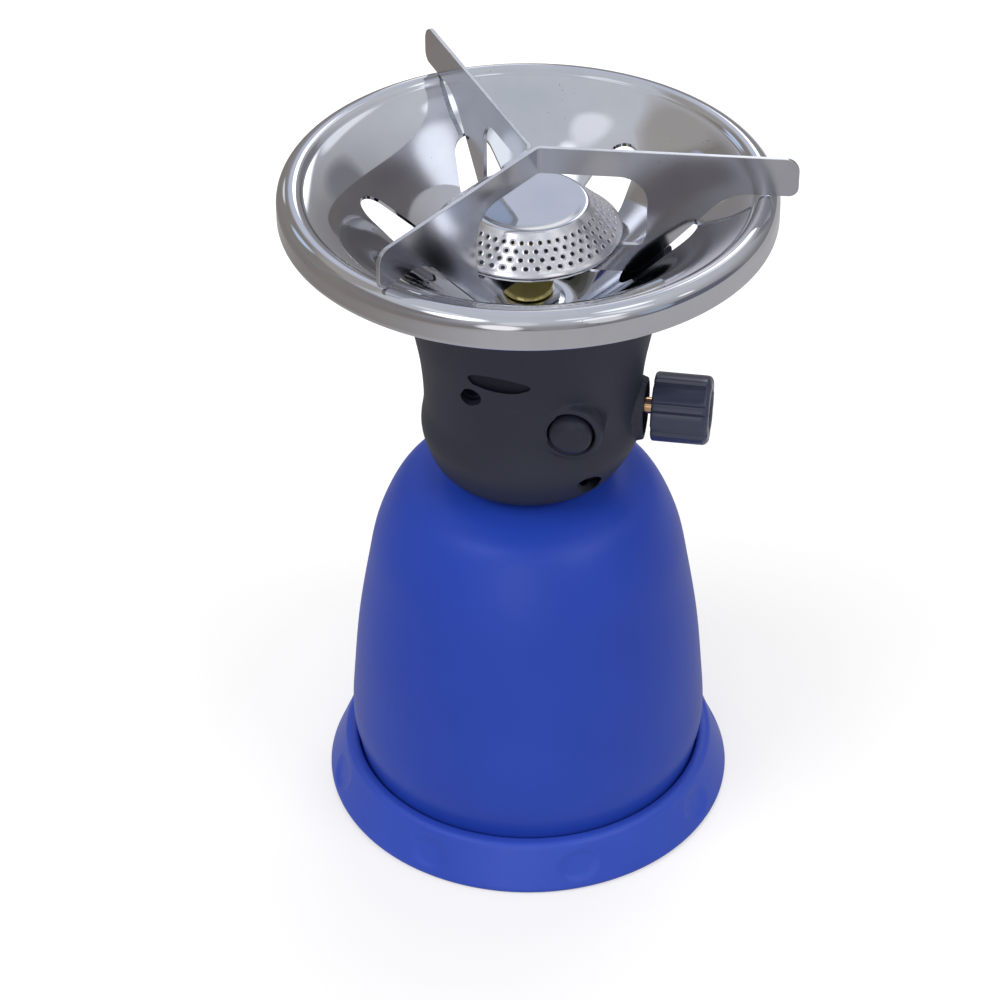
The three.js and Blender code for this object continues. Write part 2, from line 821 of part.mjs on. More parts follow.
// One pan support in its own plane: distance from its origin across, height up
function supportOutline(strapStart, footStart, cutOut, tip) {
  const footTop = cupBottom - joinGap;
  const footBottom = footTop - supportFootHeight;
  const strapUnder = supportTop - supportStrip;
  return rounded([
    [strapStart, supportTop, 0],
    [strapStart, strapUnder, 0],
    [cutOut, strapUnder, cutOutUpperRound],
    [cutOut, footTop, cutOutLowerRound],
    [footStart, footTop, 0],
    [footStart, footBottom, supportCornerRound],
    [cutOut - supportFootInset, footBottom, supportCornerRound],
    [cutOut + supportSlopeRun, supportUnder, supportBendRound],
    [tip, supportUnder, supportCornerRound],
    [tip, supportTop, supportTipRound],
  ]);
}

// The same as a standing sheet, turned to its azimuth and moved to its origin
function supportBlade(strapStart, azimuth, origin, cutOut, tip) {
  const footStart = neckOuter + joinGap - origin.dot(bearing(azimuth));
  const outline = supportOutline(strapStart, footStart, cutOut, tip);
  const blade = prism(outline, -supportSheet / 2, supportSheet / 2);
  blade.rotateX(Math.PI / 2).rotateZ(THREE.MathUtils.degToRad(azimuth));
  return blade.translate(origin.x, origin.y, 0);
}

// Two supports are one strip, bent to a V over the burner
function supportPair() {
  const overlap = -supportSheet / 4;
  const right = supportBlade(overlap, rightAzimuth, bendPlace(), rightCutOut, rightTip);
  const front = supportBlade(overlap, frontAzimuth, bendPlace(), frontCutOut, frontTip);
  return join(right, front);
}

// The third support points at the axis and has a tab, bent to lie on the back of the V
function supportSingle() {
  const corner = THREE.MathUtils.degToRad(backAzimuth - frontAzimuth);
  const bend = bendPlace();
  const back = supportSheet / 2 + joinGap;
  const across = bearing(frontAzimuth - 90);
  const inward = bearing(backAzimuth);
  const room = back + Math.abs(Math.cos(corner)) * supportSheet / 2;
  const strapStart = (bend.dot(across) + room) / inward.dot(across);
  const root = inward.clone().multiplyScalar(strapStart).sub(bend);
  const tabStart = root.dot(bearing(frontAzimuth)) - supportSheet;
  const tabBottom = supportTop - supportStrip + tabDrop;
  const tabTop = supportTop - tabDrop;
  const tab = block(
    place(tabStart, -back - supportSheet, tabBottom),
    place(tabLength, -back, tabTop),
  );
  tab.rotateZ(THREE.MathUtils.degToRad(frontAzimuth)).translate(bend.x, bend.y, 0);
  const blade = supportBlade(strapStart, backAzimuth, place(0, 0, 0), backCutOut, backTip);
  return join(blade, tab);
}

// Burner cup: a shallow pressing that carries the perforated cap
function burnerCup() {
  const sheet = burnerSheet / 2;
  const rimRadius = burnerRadius - burnerSheet;
  const rimZ = burnerBottom - burnerSheet - joinGap - sheet;
  const line = [
    at(mixerRadius + joinGap, cupBottom),
    at(rimRadius - cupRimLean, cupBottom),
    at(rimRadius, rimZ),
  ];
  return revolve(sheetProfile(line, sheet), midSides * 2);
}

// Burner cap: a cone pierced by staggered rows of flame ports, under a flat disc
function burnerCap() {
  const capTop = burnerBottom + burnerHeight;
  const outside = rounded([
    [burnerRadius, burnerBottom, 0],
    [burnerTopRadius, capTop, burnerRound],
    [0, capTop, 0],
    [0, burnerBottom, 0],
  ]).filter((point) => point.x !== 0 || point.y !== burnerBottom);
  const inside = offsetLine(outside, burnerSheet);
  inside.at(-1).x = 0;
  const shell = revolve([...outside, ...inside.reverse()], portCount * 2);
  const ports = flamePorts(capTop).map(toSolid);
  return fromSolid(toSolid(shell).subtract(wasm.Manifold.union(ports)).simplify(weldLength));
}

// Flame ports: square prods through the cone, each row half a step round from the last.
// The cap has two faces to a port, and each prod goes through the middle of a face.
function flamePorts(capTop) {
  const bottom = at(burnerRadius, burnerBottom);
  const slope = at(burnerTopRadius, capTop).sub(bottom);
  const length = slope.length();
  const outward = at(slope.y, -slope.x).normalize();
  const ports = [];
  for (let row = 0; row < portRows; row += 1) {
    const rowStep = (length - portMargin * 2 - burnerRound) / (portRows - 1);
    const share = (portMargin + row * rowStep) / length;
    const middle = bottom.clone().addScaledVector(slope, share);
    const inner = middle.clone().addScaledVector(outward, -burnerSheet * 2);
    const outer = middle.clone().addScaledVector(outward, burnerSheet * 2);
    for (let index = 0; index < portCount; index += 1) {
      const azimuth = ((index + (row % 2) / 2 + 1 / 4) * 360) / portCount;
      const across = bearing(azimuth);
      const start = place(across.x * inner.x, across.y * inner.x, inner.y);
      const end = place(across.x * outer.x, across.y * outer.x, outer.y);
      ports.push(bar(portRadius, start, end, 4));
    }
  }
  return ports;
}

// The housing's outer face
function housingLine() {
  return sharedLine(
    housingRadiusShares, housingHeightShares, housingRadius, housingBottom, housingHeight, curveSteps,
  );
}

// Everything above the bowl's underside, where the housing has to stop
function bowlShadow() {
  const under = offsetLine(bowlWallLine(), -bowlSheet - joinGap);
  const top = rimTop + overrun;
  return revolve([
    at(0, shoulderTop + joinGap),
    ...under,
    at(bowlLipRadius, top),
    at(0, top),
  ], wideSides);
}

// A post along Y for a housing screw, seen from the front
function screwPost(x, height) {
  const z = housingBottom + height;
  return bar(screwPostRadius, place(x, -housingRadius, z), place(x, housingRadius, z), smallSides);
}

// The room that a housing screw and its head need
function screwRoom(x, height) {
  const z = housingBottom + height;
  const headEnd = screwSeat + screwHeadHeight;
  return [
    bar(screwHeadRadius + turnGap, place(x, -housingRadius * 2, z), place(x, headEnd + joinGap, z), smallSides),
    bar(screwRadius + joinGap, place(x, screwSeat, z), place(x, headEnd + screwLength + joinGap, z), 8),
  ];
}

// An air slot through the housing's wall
function airSlot(azimuth) {
  const slot = bar(slotLength / 2, place(housingRadius / 2, 0, 0), place(housingRadius * 2, 0, 0), smallSides);
  slot.scale(1, 1, slotWidth / slotLength);
  slot.rotateX(THREE.MathUtils.degToRad(slotTilt));
  slot.rotateZ(THREE.MathUtils.degToRad(azimuth));
  return slot.translate(0, 0, housingBottom + slotHeight);
}

// The housing swells towards the knob, to make room for the valve's nose
function swollen(geometry) {
  const points = geometry.attributes.position;
  const point = place(0, 0, 0);
  for (let index = 0; index < points.count; index += 1) {
    point.fromBufferAttribute(points, index);
    const radius = Math.hypot(point.x, point.y);
    const facing = radius > 0 ? Math.max(point.x / radius, 0) : 0;
    const rise = THREE.MathUtils.smoothstep(point.z, housingBottom, housingBottom + swellRise);
    const share = radius > 0 ? (housingSwell * facing * facing * rise) / radius : 0;
    points.setXY(index, point.x * (1 + share), point.y * (1 + share));
  }
  return geometry;
}

// Both housing halves as one hollow shell, with the collars, posts and bores
function housingShell() {
  const outside = housingLine();
  const inside = offsetLine(outside, housingWall);
  const floorTop = housingBottom + housingWall;
  const top = outside.at(-1).y;
  const filled = swollen(revolve([at(0, housingBottom), ...outside, at(0, top)], wideSides));
  const wallLine = inside.filter((point) => point.y > floorTop);
  const hollow = swollen(revolve([
    at(0, floorTop),
    at(wallLine[0].x - housingWall, floorTop),
    ...wallLine,
    at(inside.at(-1).x, top + overrun),
    at(0, top + overrun),
  ], wideSides));
  const shell = cut(filled, hollow);
  const posts = common(
    join(screwPost(upperScrewX, upperScrewHeight), screwPost(lowerScrewX, lowerScrewHeight)),
    filled,
  );
  const sleeveRadius = buttonRadius + turnGap + buttonRingWall;
  const sleeve = bar(sleeveRadius, place(igniterX, buttonRingFace, igniterZ),
    place(igniterX, igniterSleeveEnd, igniterZ), midSides);
  const stemCollar = bar(stemCollarRadius, place(stemCollarStart, 0, knobZ),
    place(collarFace, 0, knobZ), midSides);
  return cut(
    join(shell, posts, sleeve, stemCollar),
    bowlShadow(),
    bar(neckRadius + joinGap, place(0, 0, housingBottom - overrun), place(0, 0, floorTop + overrun), midSides),
    bar(stemBoreRadius, place(stemCollarStart - overrun, 0, knobZ),
      place(collarFace + overrun, 0, knobZ), midSides),
    bar(buttonRadius + turnGap, place(igniterX, buttonRingFace - overrun, igniterZ),
      place(igniterX, igniterFront - joinGap, igniterZ), midSides),
    bar(Math.hypot(igniterWidth, igniterThickness) / 2 + joinGap,
      place(igniterX, igniterFront - overrun, igniterZ),
      place(igniterX, igniterSleeveEnd + overrun, igniterZ), midSides),
    ...screwRoom(upperScrewX, upperScrewHeight),
    ...screwRoom(lowerScrewX, lowerScrewHeight),
    airSlot(slotAzimuth),
    airSlot(slotAzimuth + 180),
  );
}

// The halves part in the plane of the knob
function housingHalf(side) {
  const reach = housingRadius * 2;
  const top = housingBottom + housingHeight + overrun;
  const near = (side * joinGap) / 2;
  const far = side * reach;
  const half = block(
    place(-reach, Math.min(near, far), housingBottom - overrun),
    place(reach, Math.max(near, far), top),
  );
  return common(housingShell(), half);
}

// Housing screw: a pan head and a plain shank
function housingScrew(x, height) {
  const z = housingBottom + height;
  const headEnd = screwSeat + screwHeadHeight;
  return join(
    bar(screwHeadRadius, place(x, screwSeat, z), place(x, headEnd, z), smallSides),
    bar(screwRadius, place(x, screwSeat, z), place(x, headEnd + screwLength, z), 8),
  );
}

// Piezo igniter: a sealed block with a hole for its plunger
function igniterBody() {
  const halfWidth = igniterWidth / 2;
  const halfThickness = igniterThickness / 2;
  return cut(
    block(
      place(igniterX - halfWidth, igniterFront, igniterZ - halfThickness),
      place(igniterX + halfWidth, igniterBack, igniterZ + halfThickness),
    ),
    bar(plungerRadius + joinGap, place(igniterX, igniterFront - overrun, igniterZ),
      place(igniterX, igniterFront + buttonTravel * 2, igniterZ), smallSides),
  );
}

// Plunger between the button and the piezo block
function igniterPlunger() {
  const start = buttonFace + buttonLength + joinGap;
  const end = igniterFront + buttonTravel - joinGap;
  return bar(plungerRadius, place(igniterX, start, igniterZ), place(igniterX, end, igniterZ), smallSides);
}

// Button: a domed cap that slides in the front half's ring
function igniterButton() {
  const face = -buttonFace;
  const inner = face - buttonLength;
  const dome = rounded([
    [0, inner, 0],
    [buttonRadius, inner, 0],
    [buttonRadius, face - buttonDome / 2, buttonDome],
    [0, face, 0],
  ]);
  return revolveToFront(dome, midSides, igniterX, igniterZ);
}

// Electrode: a wire in a ceramic sleeve that stands up through the bowl
function electrodeFoot() {
  return bearing(electrodeAzimuth).multiplyScalar(electrodeOffset);
}

function electrodeInsulator() {
  const bottom = bowlFloorTop - insulatorBelow;
  const top = bottom + insulatorLength;
  const flangeTop = bottom + insulatorBelow / 2;
  const hole = electrodeRadius + joinGap;
  const wide = insulatorRadius + insulatorFlange;
  const foot = electrodeFoot();
  return revolve([
    at(hole, bottom),
    at(wide, bottom),
    at(wide, flangeTop),
    at(insulatorRadius, flangeTop),
    at(insulatorRadius, top),
    at(hole, top),
  ], smallSides).translate(foot.x, foot.y, 0);
}

function electrodeRod() {
  const bottom = bowlFloorTop - insulatorBelow - joinGap * 2;
  const top = bowlFloorTop - insulatorBelow + insulatorLength + electrodeBare;
  const foot = electrodeFoot();
  return bar(electrodeRadius, foot.clone().setZ(bottom), foot.clone().setZ(top), 8);
}

// High-tension lead from the piezo block to the foot of the electrode
function igniterLead() {
  const foot = electrodeFoot();
  const startY = igniterBack + joinGap;
  const endZ = bowlFloorTop - insulatorBelow - joinGap * 3;
  const start = place(igniterX, startY, igniterZ);
  const end = foot.clone().setZ(endZ);
  const drop = endZ - igniterZ;
  const path = new THREE.CubicBezierCurve3(
    start,
    start.clone().add(place(0, drop / 2, 0)),
    end.clone().sub(place(0, 0, drop * 2 / 3)),
    end,
  );
  const section = new THREE.Shape();
  section.absarc(0, 0, leadRadius, 0, Math.PI * 2, false);
  return new THREE.ExtrudeGeometry(section, { steps: smallSides, extrudePath: path, curveSegments: 8 });
}

// Finishes
function finish(color, roughness, metalness) {
  return new THREE.MeshStandardMaterial({ color, roughness, metalness });
}
const bluePlastic = () => finish(0x2b41a8, 0.42, 0);
const brightBluePlastic = () => finish(0x3650b8, 0.4, 0);
const blackPlastic = () => finish(0x2b2e31, 0.5, 0);
const glossBlackPlastic = () => finish(0x15161a, 0.3, 0);
const chromedSteel = () => finish(0xd9dade, 0.08, 1);
const zincPlate = () => finish(0xa9b0b8, 0.32, 1);
const burnerSteel = () => finish(0xc9c8c4, 0.22, 1);
const plainSteel = () => finish(0xb0b2b5, 0.35, 1);
const brass = () => finish(0xb99245, 0.3, 1);
const dieCast = () => finish(0x9a9c9e, 0.5, 1);
const rubber = () => finish(0x1a1a1a, 0.8, 0);
const ceramic = () => finish(0xe9e6de, 0.35, 0);
const paintedSteel = () => finish(0x2f55c4, 0.35, 0.3);

const stove = new THREE.Group();

// Adds one named piece to the stove
function add(name, geometry, material) {
  const mesh = new THREE.Mesh(geometry, material);
  mesh.name = name;
  stove.add(mesh);
}

add('base_disc', baseDisc(), brightBluePlastic());
add('gas_cartridge', gasCartridge(), paintedSteel());
add('bell_housing', bellHousing(), bluePlastic());
add('bell_collar', bellCollar(), dieCast());
add('cartridge_seal', cartridgeSeal(), rubber());
add('piercing_spigot', piercingSpigot(), brass());
add('valve_body', valveBody(), dieCast());
add('valve_spindle', valveSpindle(), brass());
add('spindle_o_ring', spindleORing(), rubber());
add('spindle_gland', spindleGland(), brass());
add('control_knob', controlKnob(), glossBlackPlastic());
add('gas_jet', gasJet(), brass());
add('mixer_tube', mixerTube(), brass());
add('lock_washer', lockWasher(), plainSteel());
add('clamp_nut', clampNut(), plainSteel());
add('burner_neck', burnerNeck(), brass());
add('windshield', windshield(), chromedSteel());
add('support_pair', supportPair(), zincPlate());
add('support_single', supportSingle(), zincPlate());
add('burner_cup', burnerCup(), burnerSteel());
add('burner_cap', burnerCap(), burnerSteel());
add('housing_front', housingHalf(-1), blackPlastic());
add('housing_rear', housingHalf(1), blackPlastic());
add('housing_screw_upper', housingScrew(upperScrewX, upperScrewHeight), plainSteel());
add('housing_screw_lower', housingScrew(lowerScrewX, lowerScrewHeight), plainSteel());
add('igniter_body', igniterBody(), glossBlackPlastic());
add('igniter_plunger', igniterPlunger(), glossBlackPlastic());
add('igniter_button', igniterButton(), glossBlackPlastic());
add('igniter_lead', igniterLead(), rubber());
add('electrode_insulator', electrodeInsulator(), ceramic());
add('electrode_rod', electrodeRod(), plainSteel());

export default stove;
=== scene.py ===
# A camping gas stove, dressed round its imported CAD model.
# Metres in Blender, millimetres in the sizes below; +Z up, the control knob points along +X
# and the igniter button faces -Y. The sections follow the stove as it is put together.
import math

import bmesh
import bpy
import numpy as np
from mathutils import Matrix, Vector


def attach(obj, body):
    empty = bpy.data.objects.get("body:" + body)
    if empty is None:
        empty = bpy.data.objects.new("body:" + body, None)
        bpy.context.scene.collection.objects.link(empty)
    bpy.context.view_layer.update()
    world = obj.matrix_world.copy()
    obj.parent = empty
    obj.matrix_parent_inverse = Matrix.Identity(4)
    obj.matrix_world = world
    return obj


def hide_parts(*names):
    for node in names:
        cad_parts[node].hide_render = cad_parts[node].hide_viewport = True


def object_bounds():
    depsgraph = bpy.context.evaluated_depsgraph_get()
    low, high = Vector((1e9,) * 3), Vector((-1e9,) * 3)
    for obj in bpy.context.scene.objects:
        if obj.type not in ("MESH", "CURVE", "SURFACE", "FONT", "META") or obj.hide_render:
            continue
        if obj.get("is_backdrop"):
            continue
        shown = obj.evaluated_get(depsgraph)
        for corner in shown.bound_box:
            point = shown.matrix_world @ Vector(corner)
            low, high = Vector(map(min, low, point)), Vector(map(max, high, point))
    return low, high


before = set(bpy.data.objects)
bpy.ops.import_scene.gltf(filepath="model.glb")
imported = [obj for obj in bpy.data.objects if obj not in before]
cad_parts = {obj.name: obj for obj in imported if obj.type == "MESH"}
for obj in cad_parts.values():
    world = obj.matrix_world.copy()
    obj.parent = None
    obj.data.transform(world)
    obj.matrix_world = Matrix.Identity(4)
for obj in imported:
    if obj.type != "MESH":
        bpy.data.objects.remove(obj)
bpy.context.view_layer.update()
scene = bpy.context.scene


# The camera stands in front of the stove and above it, at the photograph's angle, and looks
# down at it through a long lens.
CAMERA_AT = (0.1147, -0.7243, 0.6535)
CAMERA_TILT = 53.02
CAMERA_AZIMUTH = 9
CAMERA_LENS = 111.7
CAMERA_SHIFT = -0.0281


def stood(name, data):
    """An object made of the given data, put in the scene."""
    thing = bpy.data.objects.new(name, data)
    scene.collection.objects.link(thing)
    return thing


camera_data = bpy.data.cameras.new("camera")
camera_data.sensor_width = 36
camera_data.lens = CAMERA_LENS
camera_data.shift_x = CAMERA_SHIFT
camera = stood("camera", camera_data)
camera.location = CAMERA_AT
camera.rotation_euler = (math.radians(CAMERA_TILT), 0, math.radians(CAMERA_AZIMUTH))
scene.camera = camera


# The studio: a pale floor and soft lamps. What polished metal reflects is a surround of its
# own, with soft-edged windows and dark walls, while the camera sees plain white.
class Field:
    """A value that varies over a surface: its maths is written as plain maths."""

    def __init__(self, tree, socket=None):
        self.tree = tree
        self.socket = socket

    def node(self, kind, inputs=None, output=0, **settings):
        made = self.tree.nodes.new(kind)
        for name, value in settings.items():
            if name == "stops":
                ramp = made.color_ramp
                while len(ramp.elements) < len(value):
                    ramp.elements.new(1)
                for element, (position, color) in zip(ramp.elements, value):
                    element.position = position
                    element.color = (*color, 1)
            else:
                setattr(made, name, value)
        for name, value in (inputs or {}).items():
            if isinstance(value, Field):
                self.tree.links.new(value.socket, made.inputs[name])
            else:
                made.inputs[name].default_value = value
        return Field(self.tree, made.outputs[output] if made.outputs else None)

    def maths(self, operation, *values):
        return self.node("ShaderNodeMath", dict(enumerate(values)), operation=operation)

    __add__ = __radd__ = lambda self, other: self.maths("ADD", self, other)
    __sub__ = lambda self, other: self.maths("SUBTRACT", self, other)
    __rsub__ = lambda self, other: self.maths("SUBTRACT", other, self)
    __mul__ = __rmul__ = lambda self, other: self.maths("MULTIPLY", self, other)
    __truediv__ = lambda self, other: self.maths("DIVIDE", self, other)
    __pow__ = lambda self, other: self.maths("POWER", self, other)

    def parts(self):
        """The X, Y and Z of this, where it is a place or a direction."""
        split = self.node("ShaderNodeSeparateXYZ", {0: self}).socket.node.outputs
        return [Field(self.tree, split[axis]) for axis in ("X", "Y", "Z")]

    def between(self, low, high):
        """0 at low, 1 at high, held outside them."""
        return self.node("ShaderNodeMapRange", {0: self, 1: low, 2: high})

    def mix(self, first, second):
        """first where this is 0, second where it is 1."""
        return self.node("ShaderNodeMix", {0: self, 6: first, 7: second}, 2, data_type="RGBA")


def rays(blank):
    """Three fields, each 1 for one kind of ray: seen straight on, mirrored, or through glass."""
    outputs = blank.node("ShaderNodeLightPath").socket.node.outputs
    kinds = ("Is Camera Ray", "Is Glossy Ray", "Is Transmission Ray")
    return [Field(blank.tree, outputs[kind]) for kind in kinds]


scene.view_settings.view_transform = "Standard"
world = bpy.data.worlds.new("surround")
world.use_nodes = True
scene.world = world
world.node_tree.nodes.clear()
sky = Field(world.node_tree)
seen, mirrored, through = rays(sky)
toward_x, toward_y, toward_z = sky.node("ShaderNodeTexCoord", output="Generated").parts()
azimuth = sky.maths("ARCTAN2", toward_y, toward_x) * (180 / math.pi)
elevation = sky.maths("ARCSINE", toward_z) * (180 / math.pi)


def window(middle, height, half_width, half_height):
    """1 inside a soft-edged oval of the surround, all in degrees."""
    across = (azimuth - middle) / half_width
    up = (elevation - height) / half_height
    return (across * across + up * up).between(1.5, 0.6)


# The surround from straight down to straight up: share of the way, colour.
SKY_STOPS = [
    (0.0, (0.3, 0.3, 0.3)), (0.5, (0.25, 0.24, 0.25)), (0.63, (0.32, 0.31, 0.32)),
    (0.75, (0.46, 0.46, 0.48)), (0.854, (0.58, 0.59, 0.62)), (0.933, (0.66, 0.68, 0.72)),
    (1.0, (0.62, 0.65, 0.7)),
]
# Windows and walls in it: azimuth, elevation, half width, half height, colour.
WINDOWS = [
    (-165, 20, 34, 22, (0.27, 0.25, 0.24)), (150, 26, 34, 26, (0.28, 0.26, 0.24)),
    (150, 50, 30, 10, (0.42, 0.4, 0.38)), (-6, 7, 25, 15, (0.15, 0.16, 0.2)),
    (61, 18, 11, 16, (0.24, 0.24, 0.26)), (-70, 10, 10, 14, (0.36, 0.35, 0.36)),
    (-150, 66, 20, 6, (0.95, 0.97, 1.03)), (-121, 52, 16, 11, (2.1, 2.13, 2.2)),
    (-140, 32, 24, 9, (0.26, 0.235, 0.24)), (99, 37, 17, 13, (0.64, 0.68, 0.8)),
    (87, 32, 7, 9, (2.6, 2.65, 2.8)), (-93, 14, 9, 16, (1.25, 1.2, 1.22)),
    (-86, 46, 10, 12, (0.8, 0.82, 0.84)), (-44, 46, 13, 8, (1.3, 1.3, 1.3)),
    (-46, 29, 9, 13, (0.85, 0.86, 0.85)), (-49, 65, 12, 5, (1.1, 1.16, 1.22)),
    (-15, 60, 10, 11, (1.05, 1.07, 1.1)), (33, 70, 22, 6, (1.45, 1.5, 1.55)),
    (0, 38, 4, 4, (1.4, 1.4, 1.4)), (76, 44, 5, 7, (1.0, 1.04, 1.1)),
    (102, 13, 4, 12, (1.1, 1.1, 1.1)), (147, 31, 7, 7, (0.62, 0.74, 0.95)),
    (129, 18, 4, 5, (0.85, 0.85, 0.88)), (-25, 16, 8, 10, (0.4, 0.46, 0.56)),
]
SOFT_LIGHT = (0.48, 0.485, 0.5, 1)
WHITE = (1, 1, 1, 1)
surround = sky.node("ShaderNodeValToRGB", {0: toward_z * 0.5 + 0.5}, stops=SKY_STOPS)
for middle, height, half_width, half_height, light in WINDOWS:
    surround = window(middle, height, half_width, half_height).mix(surround, (*light, 1))
surround = mirrored.mix(SOFT_LIGHT, surround)
backdrop_color = seen.maths("MAXIMUM", seen, through).mix(surround, WHITE)
backdrop = sky.node("ShaderNodeBackground", {"Color": backdrop_color, "Strength": 1.0})
sky.node("ShaderNodeOutputWorld", {"Surface": backdrop})

FLOOR_REACH = 4
FLOOR_GRAY = (0.56, 0.55, 0.54, 1)
# Painted reflection: the dark and pale tones that the floor glows with for mirrored rays.
MIRRORED_FLOOR_DARK = (0.27, 0.24, 0.22, 1)
MIRRORED_FLOOR_PALE = (0.5, 0.49, 0.5, 1)

floor_corners = [
    (x * FLOOR_REACH, y * FLOOR_REACH, 0) for x, y in ((-1, -1), (1, -1), (1, 1), (-1, 1))
]
floor_mesh = bpy.data.meshes.new("floor")
floor_mesh.from_pydata(floor_corners, [], [(0, 1, 2, 3)])
floor = stood("floor", floor_mesh)
floor_paint = bpy.data.materials.new("floor")
floor_paint.use_nodes = True
floor_paint.node_tree.nodes.clear()
board = Field(floor_paint.node_tree)
board_seen, board_mirrored, board_through = rays(board)
board_place = board.node("ShaderNodeTexCoord", output="Object")
away = board.node("ShaderNodeVectorMath", {0: board_place}, "Value", operation="LENGTH")
# The floor glows a little for the camera, more so away from the stove, so that it is white.
paler = away.between(0.1, 0.35) * 0.2 + 0.45
board_glow = board.maths("MAXIMUM", board_seen, board_through) * paler
matt = board.node("ShaderNodeBsdfDiffuse", {"Color": FLOOR_GRAY})
glow = board.node("ShaderNodeEmission", {"Color": WHITE, "Strength": board_glow})
bright = board.node("ShaderNodeAddShader", {0: matt, 1: glow})
# Mirrored rays see the floor glow instead: a painted reflection, darker towards -X.
mirrored_floor_tone = board_place.parts()[0].between(-0.4, -0.05).mix(MIRRORED_FLOOR_DARK, MIRRORED_FLOOR_PALE)
mirrored_floor_glow = board.node("ShaderNodeEmission", {"Color": mirrored_floor_tone, "Strength": 1.0})
board.node("ShaderNodeOutputMaterial", {
    0: board.node("ShaderNodeMixShader", {0: board_mirrored, 1: bright, 2: mirrored_floor_glow}),
})
floor_mesh.materials.append(floor_paint)
floor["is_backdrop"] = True

# Lamps: place, size, power, what it is.
LAMPS = [
    ((-0.75, -0.65, 1.05), 0.8, 7.0, "left window"),
    ((0.85, -0.45, 0.8), 0.7, 4.0, "right card"),
    ((0.1, 0.75, 1.2), 0.8, 5.0, "back window"),
    ((0.0, -1.0, 0.4), 0.9, 2.8, "front card"),
]
AIM = Vector((0, 0, 0.12))
for place, size, power, name in LAMPS:
    lamp = bpy.data.lights.new(name, "AREA")
    lamp.shape = "DISK"
    lamp.size = size
    lamp.energy = power
    holder = stood(name, lamp)
    holder.location = place
    holder.rotation_euler = (AIM - Vector(place)).to_track_quat("-Z", "Y").to_euler()
    holder.visible_glossy = False


# Base disc: a moulded dish of blue plastic that the cartridge stands in, with a leaning rim
# and eight shallow thumb dimples for turning it. The bell locks into it with a bayonet.
MM = 0.001


def linear(red, green, blue):
    """A colour as a screen shows it, turned into light."""
    return tuple(((shown / 255 + 0.055) / 1.055) ** 2.4 for shown in (red, green, blue)) + (1,)


def start(name, color, dark):
    """An empty tree for a finish, the piece's own coordinates, and its colours as light."""
    made = bpy.data.materials.new(name)
    made.use_nodes = True
    made.node_tree.nodes.clear()
    blank = Field(made.node_tree)
    place = blank.node("ShaderNodeTexCoord", output="Object")
    return made, blank, place, linear(*color), linear(*dark)


def finish_surface(blank, sockets):
    shader = blank.node("ShaderNodeBsdfPrincipled", sockets)
    blank.node("ShaderNodeOutputMaterial", {0: shader})


def noise(blank, place, scale, detail=2.0, rough=0.5):
    return blank.node("ShaderNodeTexNoise", {
        "Vector": place, "Scale": scale, "Detail": detail, "Roughness": rough,
    })


def bump(blank, height, strength, distance):
    return blank.node("ShaderNodeBump", {
        "Height": height, "Strength": strength, "Distance": distance,
    })


def moulded(name, color, dark, rough, grain, grain_depth, gloss=0.35):
    """Moulded plastic: slow colour drift, fine grain, and scuffs that are a little paler."""
    made, blank, place, color, dark = start(name, color, dark)
    drift = noise(blank, place, 18, 3)
    fine = noise(blank, place, grain, 2)
    stretched = blank.node("ShaderNodeMapping", {
        "Vector": place, "Rotation": (0.3, 0.5, 0.9), "Scale": (30, 260, 260),
    })
    patch = noise(blank, place, 31, 2).between(0.5, 0.62)
    scuff = noise(blank, stretched, 1.0, 4, 0.65).between(0.66, 0.74) * patch
    tone = drift.between(0.3, 0.7).mix(dark, color)
    pale = tuple(min(1, v * 1.25 + 0.012) for v in color[:3]) + (1,)
    tone = (scuff * 0.55).mix(tone, pale)
    finish_surface(blank, {
        "Base Color": tone,
        "Roughness": rough + (drift - 0.5) * 0.12 + scuff * 0.12 + (fine - 0.5) * 0.1,
        "IOR": 1.49,
        "Specular IOR Level": gloss,
        "Normal": bump(blank, fine + scuff * 0.6, 0.35, grain_depth),
    })
    return made


def fillet(corners, steps=6):
    """Corners of an outline, each (x, y, radius), with true arcs for the radii."""
    outline = []
    count = len(corners)
    for index, (x, y, radius) in enumerate(corners):
        corner = np.array((x, y), float)
        if not radius:
            outline.append(corner)
            continue
        back = np.array(corners[index - 1][:2], float) - corner
        ahead = np.array(corners[(index + 1) % count][:2], float) - corner
        room = min(np.linalg.norm(back), np.linalg.norm(ahead)) / 2
        back /= np.linalg.norm(back)
        ahead /= np.linalg.norm(ahead)
        half = math.acos(np.clip(back @ ahead, -1, 1)) / 2
        reach = min(radius / math.tan(half), room)
        middle = (back + ahead) / np.linalg.norm(back + ahead)
        centre = corner + middle * reach / math.cos(half)
        first, last = corner + back * reach - centre, corner + ahead * reach - centre
        turn = math.atan2(first[0] * last[1] - first[1] * last[0], first @ last)
        for step in range(steps + 1):
            angle = turn * step / steps
            spoke = (
                first[0] * math.cos(angle) - first[1] * math.sin(angle),
                first[0] * math.sin(angle) + first[1] * math.cos(angle),
            )
            outline.append(centre + spoke)
    return outline


def turned(outline, sides, closed=True):
    """A closed outline of (radius, height) spun round Z: vertices and faces, in millimetres."""
    rows = []
    vertices = []
    angles = [2 * math.pi * side / sides for side in range(sides)]
    for radius, height in outline:
        if radius < 1e-6:
            rows.append([len(vertices)] * sides)
            vertices.append((0, 0, height))
        else:
            rows.append(list(range(len(vertices), len(vertices) + sides)))
            vertices += [(radius * math.cos(a), radius * math.sin(a), height) for a in angles]
    faces = []
    for low, high in zip(rows, rows[1:] + rows[:1] if closed else rows[1:]):
        if low[0] == low[1] and high[0] == high[1]:
            continue
        for side in range(sides):
            after = (side + 1) % sides
            corners = (low[side], low[after], high[after], high[side])
            faces.append(tuple(dict.fromkeys(corners)))
    return vertices, faces


